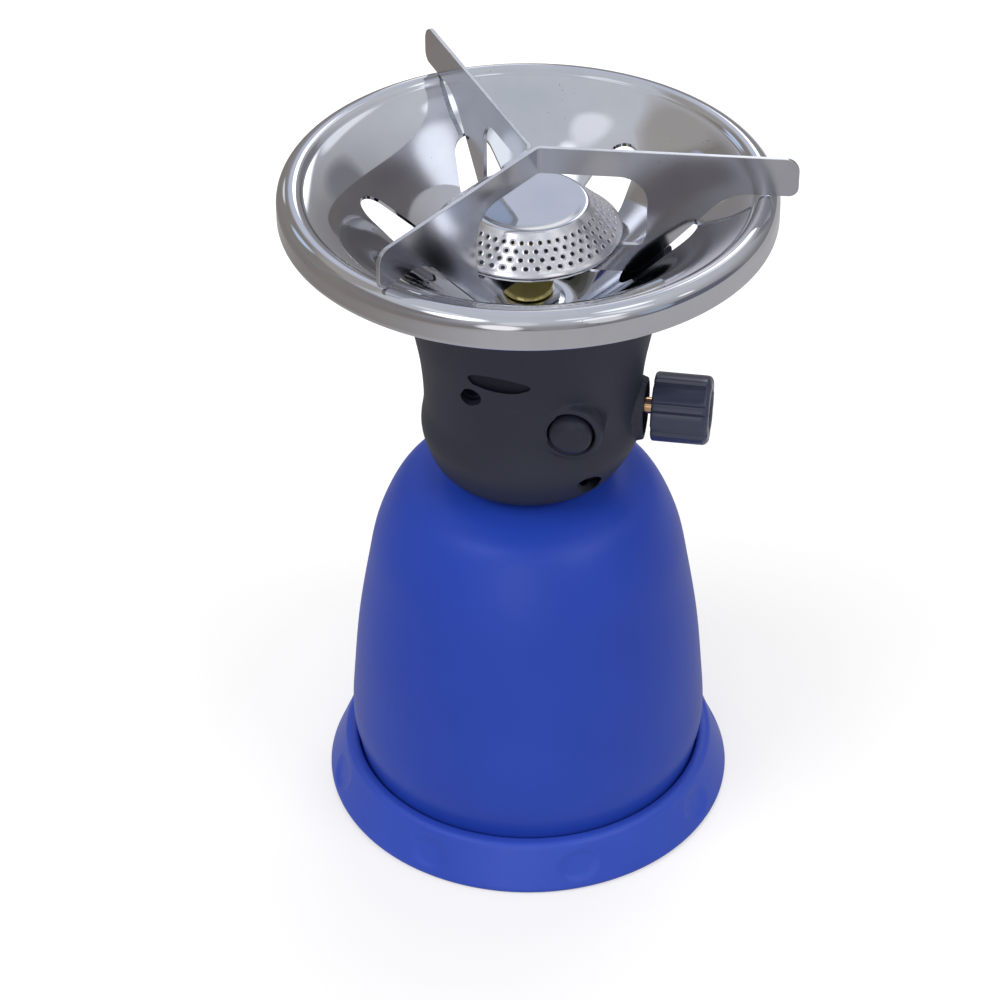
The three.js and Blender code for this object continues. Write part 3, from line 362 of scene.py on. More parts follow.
def solid(name, *parts, sharp=35, place=None):
    """One object from lists of vertices and faces in millimetres, with faces pointing outwards."""
    made = bmesh.new()
    for vertices, faces in parts:
        ours = [made.verts.new(Vector(v) * MM) for v in vertices]
        for face in faces:
            made.faces.new([ours[corner] for corner in face])
    bmesh.ops.remove_doubles(made, verts=made.verts, dist=1e-7)
    bmesh.ops.dissolve_degenerate(made, edges=made.edges, dist=1e-8)
    bmesh.ops.recalc_face_normals(made, faces=made.faces)
    mesh = bpy.data.meshes.new(name)
    made.to_mesh(mesh)
    made.free()
    if place is not None:
        mesh.transform(place)
    smooth(mesh, sharp)
    return stood(name, mesh)


def smooth(mesh, sharp):
    mesh.shade_smooth()
    mesh.set_sharp_from_angle(angle=math.radians(sharp))


def settle(thing, node, body, slot, *finishes):
    """Gives a finished piece its finishes and its body, and hides the CAD node that it stands for.
    """
    for made in finishes:
        thing.data.materials.append(made)
    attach(thing, body)
    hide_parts(node)


BASE_RADIUS = 62.6
BASE_HEIGHT = 15
BASE_LEAN = 6.2
BASE_BORE = 52.8
BASE_FLOOR = 2.5
BASE_HOLLOW = 0.8
CAN_RING = (46, 48, 11.5)
RIM_INSIDE = 55
RIM_ROWS = 22
DIMPLES = 8
DIMPLE_SIZE = (6.3, 5.0, 0.85)
DIMPLE_AZIMUTH = -66
DIMPLE_HEIGHT = 7.6

base_corners = fillet([
    (0, BASE_HOLLOW, 0), (50, BASE_HOLLOW, 0), (50.8, 0, 0), (BASE_RADIUS, 0, 1.4),
    (BASE_RADIUS - BASE_LEAN, BASE_HEIGHT, 2.4), (BASE_BORE, BASE_HEIGHT, 1.1),
    (BASE_BORE, BASE_FLOOR, 0.8), (CAN_RING[1], BASE_FLOOR, 0.5), (CAN_RING[1], CAN_RING[2], 0.6),
    (CAN_RING[0], CAN_RING[2], 0.6), (CAN_RING[0], BASE_FLOOR, 0.5), (0, BASE_FLOOR, 0),
])
base_outline = []
for index, point in enumerate(base_corners):
    after = base_corners[(index + 1) % len(base_corners)]
    leaning = min(point[0], after[0]) > RIM_INSIDE and abs(after[1] - point[1]) > 5
    parts = RIM_ROWS if leaning else 1
    base_outline += [point + (after - point) * part / parts for part in range(parts)]
base_vertices, base_faces = turned(base_outline, 384)
lean = math.atan2(BASE_LEAN, BASE_HEIGHT)
dimple_step = 360 / DIMPLES
dimpled = []
for x, y, z in base_vertices:
    radius = math.hypot(x, y)
    if radius > RIM_INSIDE and z > 0.5:
        turn = math.degrees(math.atan2(y, x)) - DIMPLE_AZIMUTH
        across = math.radians((turn + dimple_step / 2) % dimple_step - dimple_step / 2) * radius
        along = (z - DIMPLE_HEIGHT) / math.cos(lean)
        spread = math.hypot(across / DIMPLE_SIZE[0], along / DIMPLE_SIZE[1])
        depth = DIMPLE_SIZE[2] * (1 - min(1, spread) ** 4)
        shift = depth * math.cos(lean) / radius
        x, y, z = x * (1 - shift), y * (1 - shift), z - depth * math.sin(lean)
    dimpled.append((x, y, z))
bright_blue = moulded("bright blue plastic", (51, 79, 182), (44, 70, 172), 0.36, 1400, 0.00004)
base = solid("base_disc_shell", (dimpled, base_faces))
settle(base, "base_disc", "base", "base_plastic", bright_blue)


# Gas cartridge: a drawn and printed steel can, standing in the base's ring. Its cap is soft
# enough for the needle. It is hidden by the bell, so its own CAD solid is painted.
def painted(made, *names):
    """CAD nodes that keep their own shape get a finish."""
    for name in names:
        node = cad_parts[name]
        for held in node.material_slots:
            held.material = made
        if not node.material_slots:
            node.data.materials.append(made)


printed_tin = moulded("printed tinplate", (52, 96, 200), (46, 88, 190), 0.28, 900, 0.00001)
painted(printed_tin, "gas_cartridge")


# Bell: a blue moulded cover over the cartridge. Its skirt turns inside the base's rim, and a
# metal collar with the thread is set in the boss in its roof.
BELL_FOOT = 52.4
BELL_BOTTOM = 15
BELL_TOP = 115.5
BELL_WALL = 2
BELL_LIP = 3.1
BOSS_BORE = 14.6
BOSS_RADIUS = 17.3
BOSS_BOTTOM = 98.3
ROOF_UNDER = 113.5
# The bell's own line from foot to top: shares of its height and of the foot's radius.
BELL_HEIGHTS = [0, 0.104, 0.259, 0.436, 0.624, 0.78, 0.914, 0.972, 1]
BELL_RADII = [1, 1.032, 1.013, 0.979, 0.92, 0.857, 0.74, 0.6, 0.42]


def spline(knots, steps):
    """A smooth line through knots, with evenly spread steps."""
    knots = np.array(knots, float)
    padded = np.vstack([2 * knots[0] - knots[1], knots, 2 * knots[-1] - knots[-2]])
    line = []
    spans = len(knots) - 1
    for step in range(steps + 1):
        at = min(step / steps * spans, spans - 1e-9)
        span = int(at)
        t = at - span
        p0, p1, p2, p3 = padded[span:span + 4]
        line.append(0.5 * (
            2 * p1 + (p2 - p0) * t + (2 * p0 - 5 * p1 + 4 * p2 - p3) * t ** 2
            + (3 * p1 - p0 - 3 * p2 + p3) * t ** 3
        ))
    return line


def points(*pairs):
    return [np.array(pair, float) for pair in pairs]


def beside(line, thickness):
    """A line moved sideways by a thickness, to its left if that is positive."""
    moved = []
    for index, point in enumerate(line):
        ahead = line[min(index + 1, len(line) - 1)] - line[max(index - 1, 0)]
        ahead = ahead / np.linalg.norm(ahead)
        moved.append(point + np.array((-ahead[1], ahead[0])) * thickness)
    return moved


bell_rise = BELL_TOP - BELL_BOTTOM
bell_line = spline(
    [(r * BELL_FOOT, BELL_BOTTOM + h * bell_rise) for r, h in zip(BELL_RADII, BELL_HEIGHTS)], 72
)
bell_inside = [p for p in beside(bell_line, BELL_WALL) if p[0] > 19 and p[1] < ROOF_UNDER - 0.1]
bell_outline = (
    points((BELL_FOOT - 0.4, BELL_LIP), (BELL_FOOT, BELL_LIP + 0.5))
    + bell_line
    + points((BOSS_BORE, BELL_TOP), (BOSS_BORE, BOSS_BOTTOM))
    + points((BOSS_RADIUS, BOSS_BOTTOM), (BOSS_RADIUS, ROOF_UNDER))
    + bell_inside[::-1]
    + points((BELL_FOOT - BELL_WALL, BELL_LIP))
)
blue = moulded("blue plastic", (36, 67, 171), (31, 60, 161), 0.37, 1500, 0.00004)
bell = solid("bell_shell", turned(bell_outline, 256))
settle(bell, "bell_housing", "bell", "bell_plastic", blue)


def cells(blank, place, scale):
    """Distance to the nearest of many scattered points."""
    return blank.node("ShaderNodeTexVoronoi", {"Vector": place, "Scale": scale, "Randomness": 1.0})


def plated(name, color, dark, rough, grain, depth, speck=0.0, spots=400, metal=1.0):
    """Plated or bare metal: fine drawing marks, a slow change of gloss, and a few dark specks."""
    made, blank, place, color, dark = start(name, color, dark)
    drawn = blank.node("ShaderNodeMapping", {"Vector": place, "Scale": grain})
    marks = noise(blank, drawn, 1.0, 3)
    drift = noise(blank, place, 45, 3)
    tone = drift.between(0.3, 0.7).mix(dark, color)
    if speck:
        spot = cells(blank, place, spots)
        rare = noise(blank, place, spots / 5, 1).between(0.58, 0.66)
        spot = (1 - spot.between(0.06, 0.16)) * rare * speck
        tone = spot.mix(tone, tuple(v * 0.35 for v in color[:3]) + (1,))
    finish_surface(blank, {
        "Base Color": tone,
        "Roughness": rough + (drift - 0.5) * 0.14 + (marks - 0.5) * 0.1,
        "Metallic": metal,
        "Normal": bump(blank, marks, 0.3, depth),
    })
    return made


die_cast = plated(
    "die-cast metal", (158, 160, 163), (140, 142, 146), 0.5, (400, 400, 400), 0.00003
)
painted(die_cast, "bell_collar")


# Seal and spigot: a rubber ring on the cartridge's cap, and a turned brass spigot whose
# hollow needle pierces it as the head is screwed down.
rubber = moulded("black rubber", (34, 34, 35), (26, 26, 27), 0.75, 1200, 0.00003)
painted(rubber, "cartridge_seal")
turned_brass = plated(
    "turned brass", (214, 184, 108), (190, 156, 84), 0.2, (40, 40, 1500), 0.000006
)
painted(turned_brass, "piercing_spigot")


# Valve body, gland and spindle: a die-cast block with a brass spindle packed by an O-ring.
# The spindle's bare end shows between the housing and the knob.
painted(die_cast, "valve_body")
painted(turned_brass, "spindle_gland", "gas_jet")
painted(rubber, "spindle_o_ring")

KNOB_AXIS = 139.5
STEM_RADIUS = 2.4
STEM_POINT, STEM_SHOULDER, STEM_END = 2.8, 6.2, 47.2


def laid(x, z, axis):
    """Where a turned piece lies when its axis is tipped over about X or Y."""
    return Matrix.Translation((x * MM, 0, z * MM)) @ Matrix.Rotation(math.pi / 2, 4, axis)


stem_brass = plated("stem brass", (226, 190, 150), (204, 160, 118), 0.16, (1500, 40, 40), 0.000006)
stem_outline = fillet([
    (0, STEM_POINT, 0), (STEM_RADIUS, STEM_SHOULDER, 0.3), (STEM_RADIUS, STEM_END, 0.4),
    (0, STEM_END, 0),
], 3)
stem = solid("spindle_stem", turned(stem_outline, 48), place=laid(0, KNOB_AXIS, "Y"))
settle(stem, "valve_spindle", "spindle", "brass", stem_brass)


# Control knob: a glossy black moulding pushed on the spindle, with eight flutes for the
# fingers and a rounded outer end.
KNOB_BACK = 36.5
KNOB_LENGTH = 16.5
KNOB_RADIUS = 10.1
KNOB_FLUTES = 8
FLUTE_DEPTH = 0.9
FLUTE_TURN = math.radians(13)


def plain(thing):
    """Turns what a piece's modifiers make of it into its own mesh, and takes them off."""
    bpy.context.view_layer.update()
    ready = thing.evaluated_get(bpy.context.evaluated_depsgraph_get())
    mesh = bpy.data.meshes.new_from_object(ready)
    thing.modifiers.clear()
    mesh.name = thing.name
    old = thing.data
    thing.data = mesh
    bpy.data.meshes.remove(old)


def grown(thing, tree, values, sharp):
    """A piece becomes the plain mesh that a Geometry Nodes tree makes of it."""
    modifier = thing.modifiers.new(tree.name, "NODES")
    modifier.node_group = tree
    for item in tree.interface.items_tree:
        if item.item_type == "SOCKET" and item.in_out == "INPUT" and item.name in values:
            modifier[item.identifier] = values[item.name]
    plain(thing)
    smooth(thing.data, sharp)


def new_tree(name, inputs):
    """A Geometry Nodes tree with named inputs, its group input and its group output."""
    tree = bpy.data.node_groups.new(name, "GeometryNodeTree")
    tree.interface.new_socket("Geometry", in_out="INPUT", socket_type="NodeSocketGeometry")
    tree.interface.new_socket("Geometry", in_out="OUTPUT", socket_type="NodeSocketGeometry")
    for kind, titles in inputs.items():
        for title in titles:
            tree.interface.new_socket(title, in_out="INPUT", socket_type="NodeSocket" + kind)
    entry = tree.nodes.new("NodeGroupInput")
    given = {socket.name: Field(tree, socket) for socket in entry.outputs if socket.name}
    return tree, Field(tree), given


def coated(whole, finish):
    """The last step of a tree: its whole mesh gets its finish."""
    return whole.node("GeometryNodeSetMaterial", {"Geometry": whole, "Material": finish})


def divided(outline, longest):
    """The same closed outline, with its long edges divided."""
    made = []
    for index, point in enumerate(outline):
        after = outline[(index + 1) % len(outline)]
        parts = max(1, math.ceil(np.linalg.norm(after - point) / longest))
        made += [point + (after - point) * part / parts for part in range(parts)]
    return made


# The knob is turned as a plain handle, and the tree presses the flutes into it by angle.
knob_tree, knob_blank, knob_in = new_tree("knob flutes", {
    "Int": ["Flutes"], "Float": ["Depth", "Radius"], "Material": ["Finish"],
})
spot_x, spot_y, spot_z = knob_blank.node("GeometryNodeInputPosition").parts()
height_z = spot_z - KNOB_AXIS * MM
reach = (spot_y * spot_y + height_z * height_z) ** 0.5
angle = (knob_blank.maths("ARCTAN2", height_z, spot_y) - FLUTE_TURN) * knob_in["Flutes"]
groove = knob_blank.maths("COSINE", angle).between(0.25, 0.75)
groove = groove * groove * (3 - 2 * groove)
near_skin = (reach / knob_in["Radius"]).between(0.35, 0.85)
share = 1 - knob_in["Depth"] * groove * near_skin / knob_in["Radius"]
moved = knob_blank.node("ShaderNodeCombineXYZ", {
    0: spot_x, 1: spot_y * share, 2: height_z * share + KNOB_AXIS * MM,
})
pressed = knob_blank.node("GeometryNodeSetPosition", {
    "Geometry": knob_in["Geometry"], "Position": moved,
})
whole = knob_blank.node("GeometryNodeRealizeInstances", {"Geometry": pressed})
knob_blank.node("NodeGroupOutput", {0: coated(whole, knob_in["Finish"])})

gloss_black = moulded("gloss black plastic", (55, 60, 80), (47, 52, 71), 0.18, 500, 0.000012, 0.5)
knob_outline = fillet([
    (0, 11, 0), (2.7, 11, 0), (2.7, 0.8, 0), (3.4, 0, 0), (KNOB_RADIUS, 0, 0.8),
    (KNOB_RADIUS, KNOB_LENGTH, 2.5), (6.6, KNOB_LENGTH, 0.6), (6.0, KNOB_LENGTH - 0.4, 0.4),
    (0, KNOB_LENGTH - 0.4, 0),
], 8)
knob_outline = divided(knob_outline[:-1], 1.6) + [knob_outline[-1]]
knob = solid("knob_handle", turned(knob_outline, 360), place=laid(KNOB_BACK, KNOB_AXIS, "Y"))
grown(knob, knob_tree, {
    "Flutes": KNOB_FLUTES, "Depth": FLUTE_DEPTH * MM, "Radius": KNOB_RADIUS * MM,
    "Finish": gloss_black,
}, 30)
settle(knob, "control_knob", "knob", "knob_plastic")


# Mixer tube, washer and nut: a brass tube with air holes carries the bowl, which a lock
# washer and a thin plated nut clamp on its shoulder.
TUBE_RADIUS = 6.5
WASHER_RADIUS = 10.6
WASHER_LOW, WASHER_HIGH = 172.5, 173.2
NUT_CORNER = 9.2
NUT_LOW, NUT_HIGH = 173.5, 175.6

painted(turned_brass, "mixer_tube")
nut_steel = plated(
    "plated steel", (206, 208, 212), (186, 189, 195), 0.16, (300, 300, 300), 0.00001
)
painted(nut_steel, "electrode_rod")
washer = solid("washer_ring", turned(fillet([
    (TUBE_RADIUS, WASHER_LOW, 0), (WASHER_RADIUS, WASHER_LOW, 0.2),
    (WASHER_RADIUS, WASHER_HIGH, 0.2), (TUBE_RADIUS, WASHER_HIGH, 0),
], 2), 96))
settle(washer, "lock_washer", "head", "plain_steel", nut_steel)


def heading(degrees):
    """One step in a direction, as x and y."""
    return np.array((math.cos(math.radians(degrees)), math.sin(math.radians(degrees))))


hexagon = fillet([(*(NUT_CORNER * heading(turn)), 0.8) for turn in range(0, 360, 60)], 4)


def skinned(rings, closed):
    """A skin over rings of as many points, back to the first one if closed: vertices and faces."""
    count = len(rings[0])
    faces = []
    for ring in range(len(rings) if closed else len(rings) - 1):
        low, high = ring * count, (ring + 1) % len(rings) * count
        for index in range(count):
            after = (index + 1) % count
            faces.append((low + index, low + after, high + after, high + index))
    return [tuple(point) for ring in rings for point in ring], faces


def raised(outline, height):
    return [(x, y, height) for x, y in outline]


def plate(outline, hole, low, high):
    """A flat plate of one height with a round hole: vertices and faces."""
    ring = [point / np.linalg.norm(point) * hole for point in outline]
    rings = [raised(outline, low), raised(outline, high), raised(ring, high), raised(ring, low)]
    return skinned(rings, True)


def bevelled(thing, width):
    """A piece gets its sharp edges broken by a narrow bevel."""
    edge = thing.modifiers.new("edge", "BEVEL")
    edge.width = width * MM
    edge.segments = 2
    edge.limit_method = "ANGLE"
    return edge


nut_plate = plate(divided(hexagon, 0.8), TUBE_RADIUS, NUT_LOW, NUT_HIGH)
nut = solid("clamp_nut_hexagon", nut_plate, sharp=25)
bevelled(nut, 0.25)
settle(nut, "clamp_nut", "head", "plain_steel", nut_steel)


# Windshield: a bowl spun from steel sheet and chromed. Six teardrop vents let air in, and its
# rim is a bead that turns down outside and curls in at the edge.
BOWL_SHEET = 0.8
RIM_RADIUS = 69.4
RIM_TOP = 210.9
BEAD = 4.2
WALL_RADII = [13, 28.2, 37.5, 47, 62]
WALL_HEIGHTS = [172.2, 183.7, 192.6, 200.8, 209.5]
VENTS = 6
VENT_AZIMUTH = 0.7
VENT_DROP = (25.7, 47.1, 7.3, 5.7)
ELECTRODE = 19 * heading(93)
ELECTRODE_HOLE = 3

wall_curve = np.polyfit(WALL_RADII, WALL_HEIGHTS, 3)


def bowl_wall(radius):
    """A point on the bowl's inner face."""
    return np.array((radius, np.polyval(wall_curve, radius)))


wall = [bowl_wall(radius) for radius in np.linspace(14.5, 61.6, 40)]
bead_centre = np.array((RIM_RADIUS - BEAD, RIM_TOP - BEAD))
bead = [bead_centre + BEAD * heading(turn) for turn in np.linspace(138, 0, 26)]
curl = spline([
    (RIM_RADIUS, 203.6), (RIM_RADIUS, 202.4), (RIM_RADIUS - 0.35, 201.5), (RIM_RADIUS - 1.5, 200.9),
], 10)
floor_line = points(
    (TUBE_RADIUS, 172.2), (11.6, 172.2), (12.4, 172.26), (13.1, 172.42), (13.8, 172.7),
)
bowl_line = floor_line + wall + bead + points((RIM_RADIUS, 205.3)) + curl
bowl_outline = bowl_line + beside(bowl_line, -BOWL_SHEET)[::-1]


def teardrop(inner, outer, wide, narrow, steps):
    """A vent's outline along +X, wide towards the axis."""
    near, far = inner + wide, outer - narrow
    tilt = math.acos((wide - narrow) / (far - near))
    outline = []
    for angle in np.linspace(tilt, 2 * math.pi - tilt, steps):
        outline.append((near + wide * math.cos(angle), wide * math.sin(angle)))
    for angle in np.linspace(-tilt, tilt, steps):
        outline.append((far + narrow * math.cos(angle), narrow * math.sin(angle)))
    return outline


def prism(outline, low, high):
    """A flat outline given a height: vertices and faces."""
    count = len(outline)
    vertices, sides = skinned([raised(outline, low), raised(outline, high)], False)
    return vertices, [tuple(range(count))[::-1], tuple(range(count, 2 * count))] + sides


def swung(part, degrees):
    """Vertices and faces turned round Z."""
    vertices, faces = part
    c, s = math.cos(math.radians(degrees)), math.sin(math.radians(degrees))
    return [(x * c - y * s, x * s + y * c, z) for x, y, z in vertices], faces


def carved(thing, operation, *tools):
    """A piece cut by or joined to tools, which are used up."""
    for tool in tools:
        cut = thing.modifiers.new(operation, "BOOLEAN")
        cut.operation = operation
        cut.object = tool
        cut.solver = "EXACT"
    plain(thing)
    for tool in tools:
        bpy.data.objects.remove(tool)


bowl = solid("windshield_bowl", turned(bowl_outline, 320))
drop = prism(teardrop(*VENT_DROP, 26), 171, 206)
vents = [swung(drop, VENT_AZIMUTH + 360 / VENTS * index) for index in range(VENTS)]
hole = prism([
    (ELECTRODE[0] + ELECTRODE_HOLE * math.cos(a), ELECTRODE[1] + ELECTRODE_HOLE * math.sin(a))
    for a in np.linspace(0, 2 * math.pi, 33)[:-1]
], 170, 190)
carved(bowl, "DIFFERENCE", solid("vent_punch", *vents, hole))
smooth(bowl.data, 32)


def chromed(name, color, dark, rough):
    """Bright chrome: nearly a mirror, hazed in patches, with pin-prick specks."""
    made, blank, place, color, dark = start(name, color, dark)
    haze = noise(blank, place, 38, 4, 0.6)
    spun = noise(blank, place, 420, 2)
    rare = noise(blank, place, 70, 1).between(0.6, 0.68)
    spot = (1 - cells(blank, place, 520).between(0.05, 0.14)) * rare
    tone = haze.between(0.3, 0.7).mix(dark, color)
    tone = (spot * 0.7).mix(tone, (0.12, 0.12, 0.13, 1))
    finish_surface(blank, {
        "Base Color": tone,
        "Roughness": rough + haze.between(0.35, 0.75) * 0.07 + spot * 0.2,
        "Metallic": 1.0,
        "Normal": bump(blank, spun, 0.12, 0.00002),
    })
    return made


chrome = chromed("chromed steel", (221, 222, 226), (210, 212, 218), 0.035)
settle(bowl, "windshield", "head", "chromed_steel", chrome)


# Burner neck: a short brass bush on the mixer tube, with a rounded foot. It carries the
# burner cup, through which its thin lip is crimped.
NECK_RADIUS = 7.2
NECK_LIP = (4.6, 6.2)
NECK_LOW, NECK_STEP, NECK_SHOULDER, NECK_HIGH = 175.9, 186.2, 193.3, 195.5

neck_outline = fillet([
    (TUBE_RADIUS, NECK_LOW, 0), (NECK_RADIUS, NECK_LOW, 1.0), (NECK_RADIUS, NECK_SHOULDER, 0.2),
    (NECK_LIP[1], NECK_SHOULDER, 0), (NECK_LIP[1], NECK_HIGH, 0.3), (NECK_LIP[0], NECK_HIGH, 0.3),
    (NECK_LIP[0], NECK_STEP, 0), (TUBE_RADIUS, NECK_STEP, 0),
], 5)
bush_brass = plated(
    "bush brass", (240, 226, 150), (222, 204, 124), 0.2, (60, 60, 1500), 0.000006, metal=0.7
)
neck = solid("burner_neck_bush", turned(neck_outline, 96))
settle(neck, "burner_neck", "head", "brass", bush_brass)


# Burner cup and cap: stamped steel. The cap is a low cone pierced by four staggered rows of
# flame ports, each with a raised lip from the punch, under a polished disc.
painted(nut_steel, "burner_cup")
CAP_FOOT = (26.3, 195.9)
CAP_TOP = (16.8, 204.8)
CAP_SHEET = 0.8
PORT_ROWS = 4
PORTS = 48
PORT_BAND = (0.12, 0.86)
PORT_SIZE = (0.21, 0.245)
# Rings round a port, from the flat sheet over the punch's raised lip and down through the hole:
# share of the port's size, height over the sheet.
PORT_RINGS = [(1.98, 0.0), (1.5, 0.0), (1.28, 0.07), (1.1, 0.06), (1.0, -0.02), (0.98, -CAP_SHEET)]
DISC_RADIUS = 16.8
DISC_HEIGHT = 204.1


def port_tile():
    """One tile of the pierced sheet, 1 across and 1 up, with its hole and the lip round it."""
    border = [(-0.5 + k / 4, -0.5) for k in range(4)] + [(0.5, -0.5 + k / 4) for k in range(4)]
    border += [(0.5 - k / 4, 0.5) for k in range(4)] + [(-0.5, 0.5 - k / 4) for k in range(4)]
    turns = [math.atan2(y, x) for x, y in border]
    rings = [raised(border, 0)]
    for spread, lift in PORT_RINGS:
        wide, tall = PORT_SIZE[0] * spread, PORT_SIZE[1] * spread
        rings.append([(wide * math.cos(turn), tall * math.sin(turn), lift) for turn in turns])
    return skinned(rings + [raised(border, -CAP_SHEET)], False)


tile_vertices, tile_faces = port_tile()
tile_mesh = bpy.data.meshes.new("port_tile")
tile_mesh.from_pydata(tile_vertices, [], tile_faces)
tile = stood("port_tile", tile_mesh)

cap_tree, cap_blank, cap_in = new_tree("flame ports", {
    "Object": ["Tile"], "Int": ["Ports", "Rows"], "Material": ["Finish"],
    "Float": ["Foot radius", "Foot height", "Top radius", "Top height", "Band start", "Band end"],
})
grid = cap_blank.node("GeometryNodeMeshLine", {
    "Count": cap_in["Ports"] * cap_in["Rows"], "Offset": (0, 0, 0),
}, mode="OFFSET")
number = cap_blank.node("GeometryNodeInputIndex")
row = cap_blank.maths("FLOOR", number / cap_in["Ports"])
column = number - row * cap_in["Ports"]
stagger = cap_blank.maths("MODULO", row, 2.0) * 0.5
seat = cap_blank.node("ShaderNodeCombineXYZ", {0: column + stagger, 1: row + 0.5, 2: 0.0})
seated = cap_blank.node("GeometryNodeSetPosition", {"Geometry": grid, "Position": seat})
stamp = cap_blank.node("GeometryNodeObjectInfo", {"Object": cap_in["Tile"]}, output="Geometry")
stamped = cap_blank.node("GeometryNodeInstanceOnPoints", {"Points": seated, "Instance": stamp})
sheet = cap_blank.node("GeometryNodeRealizeInstances", {"Geometry": stamped})
# The flat sheet of tiles is rolled up round the cone.
flat_x, flat_y, flat_z = cap_blank.node("GeometryNodeInputPosition").parts()
around = flat_x / cap_in["Ports"] * (2 * math.pi)
along = cap_in["Band start"] + flat_y / cap_in["Rows"] * (cap_in["Band end"] - cap_in["Band start"])
slope_r = cap_in["Top radius"] - cap_in["Foot radius"]
slope_z = cap_in["Top height"] - cap_in["Foot height"]
slope = (slope_r * slope_r + slope_z * slope_z) ** 0.5
cone_r = cap_in["Foot radius"] + slope_r * along + flat_z * slope_z / slope
cone_z = cap_in["Foot height"] + slope_z * along - flat_z * slope_r / slope
rolled = cap_blank.node("ShaderNodeCombineXYZ", {
    0: cone_r * cap_blank.maths("COSINE", around) * MM,
    1: cone_r * cap_blank.maths("SINE", around) * MM,
    2: cone_z * MM,
})
cone = cap_blank.node("GeometryNodeSetPosition", {"Geometry": sheet, "Position": rolled})
closed_up = cap_blank.node("GeometryNodeMergeByDistance", {"Geometry": cone, "Distance": 0.00001})
cap_blank.node("NodeGroupOutput", {0: coated(closed_up, cap_in["Finish"])})


def burner_metal(name, color, dark, rough):
    """Stamped burner steel: polished, with heat haze and fine pits."""
    made, blank, place, color, dark = start(name, color, dark)
    haze = noise(blank, place, 120, 4, 0.6)
    pits = noise(blank, place, 1300, 2)
    tone = haze.between(0.32, 0.68).mix(dark, color)
    finish_surface(blank, {
        "Base Color": tone,
        "Roughness": rough + haze.between(0.3, 0.8) * 0.16,
        "Metallic": 1.0,
        "Normal": bump(blank, pits, 0.25, 0.00003),
    })
    return made


stamped_steel = burner_metal("stamped steel", (236, 236, 240), (212, 211, 215), 0.12)
cap = solid("burner_cap_pierced", ([(0, 0, 0), (0.001, 0, 0), (0, 0.001, 0)], [(0, 1, 2)]))
grown(cap, cap_tree, {
    "Tile": tile, "Ports": PORTS, "Rows": PORT_ROWS, "Finish": stamped_steel,
    "Foot radius": CAP_FOOT[0], "Foot height": CAP_FOOT[1],
    "Top radius": CAP_TOP[0], "Top height": CAP_TOP[1],
    "Band start": PORT_BAND[0], "Band end": PORT_BAND[1],
}, 50)
bpy.data.objects.remove(tile)

# The plain foot, the crown with its dished disc, and the joint of all three.
cap_slope = np.array(CAP_TOP) - np.array(CAP_FOOT)
cap_inward = np.array((-cap_slope[1], cap_slope[0])) / np.linalg.norm(cap_slope) * CAP_SHEET
low_out, high_out = (np.array(CAP_FOOT) + cap_slope * end for end in PORT_BAND)
skirt = points(
    low_out, (26.15, 196.25), (26.3, 195.95), (26.25, 195.75), (25.6, 195.75), low_out + cap_inward,
)
crown = points(
    high_out, (17.3, 204.3), (16.95, 204.65), (16.5, 204.84), (16.0, 204.9), (15.5, 204.88),
    (14.9, 204.8), (14.2, 204.68),
)
disc_radii = (13.6, 12.6, 11.5, 9.5, 7.5, 5.5, 3.5, 1.5, 0)
crown += [np.array((r, 204.5 + 0.14 * max(0, r - 11) / 2.6)) for r in disc_radii]
under = points((0, 203.5), (15.6, 203.8), high_out + cap_inward)
ends = [turned(line, PORTS * 4, closed=False) for line in (skirt, crown + under)]
cap_rest = solid("burner_cap_ends", *ends)
merged = bmesh.new()
merged.from_mesh(cap.data)
merged.from_mesh(cap_rest.data)
bmesh.ops.remove_doubles(merged, verts=merged.verts, dist=2e-5)
bmesh.ops.recalc_face_normals(merged, faces=merged.faces)
merged.to_mesh(cap.data)
merged.free()
bpy.data.objects.remove(cap_rest)
smooth(cap.data, 42)
cap.data.materials.clear()
settle(cap, "burner_cap", "head", "burner_steel", stamped_steel, chrome)
for polygon in cap.data.polygons:
    x, y, z = polygon.center / MM
    on_disc = z > DISC_HEIGHT and math.hypot(x, y) < DISC_RADIUS and polygon.normal.z > 0.4
    polygon.material_index = int(on_disc)


# Pan supports: zinc-plated sheet with bright cut edges. Two arms are one strip bent to a V
# over the burner, and the third has a bent tab that is welded to the back of the V.
SUPPORT_SHEET = 1.2
SUPPORT_TOP = 222.7
STRAP_UNDER = 214.7
REST_UNDER = 211.2
FOOT_TOP = 193.3
FOOT_BOTTOM = 184.4
BEND_RADIUS = 2.35
V_CORNER = (2.8, -1.0)
V_AZIMUTHS = (-118.4, 3.5)
THIRD_AZIMUTH = 122.2
TAB_OFFSET = 1.5
TAB_END = 12.2
TAB_HEIGHTS = (215.2, 222.2)


def arm_corners(foot_start, cut_out, tip, shift=0.0, round_tip=4):
    """One arm from under its strap outwards to its top corner: distance along, height, fillet."""
    corners = [
        (cut_out, STRAP_UNDER, 8), (cut_out, FOOT_TOP, 3), (foot_start, FOOT_TOP, 0.3),
        (foot_start, FOOT_BOTTOM, 2.8), (cut_out - 2, FOOT_BOTTOM, 2.8),
        (cut_out + 22.3, REST_UNDER, 14), (tip, REST_UNDER, 2.8), (tip, SUPPORT_TOP, round_tip),
    ]
    return [(along + shift, up, radius) for along, up, radius in corners]


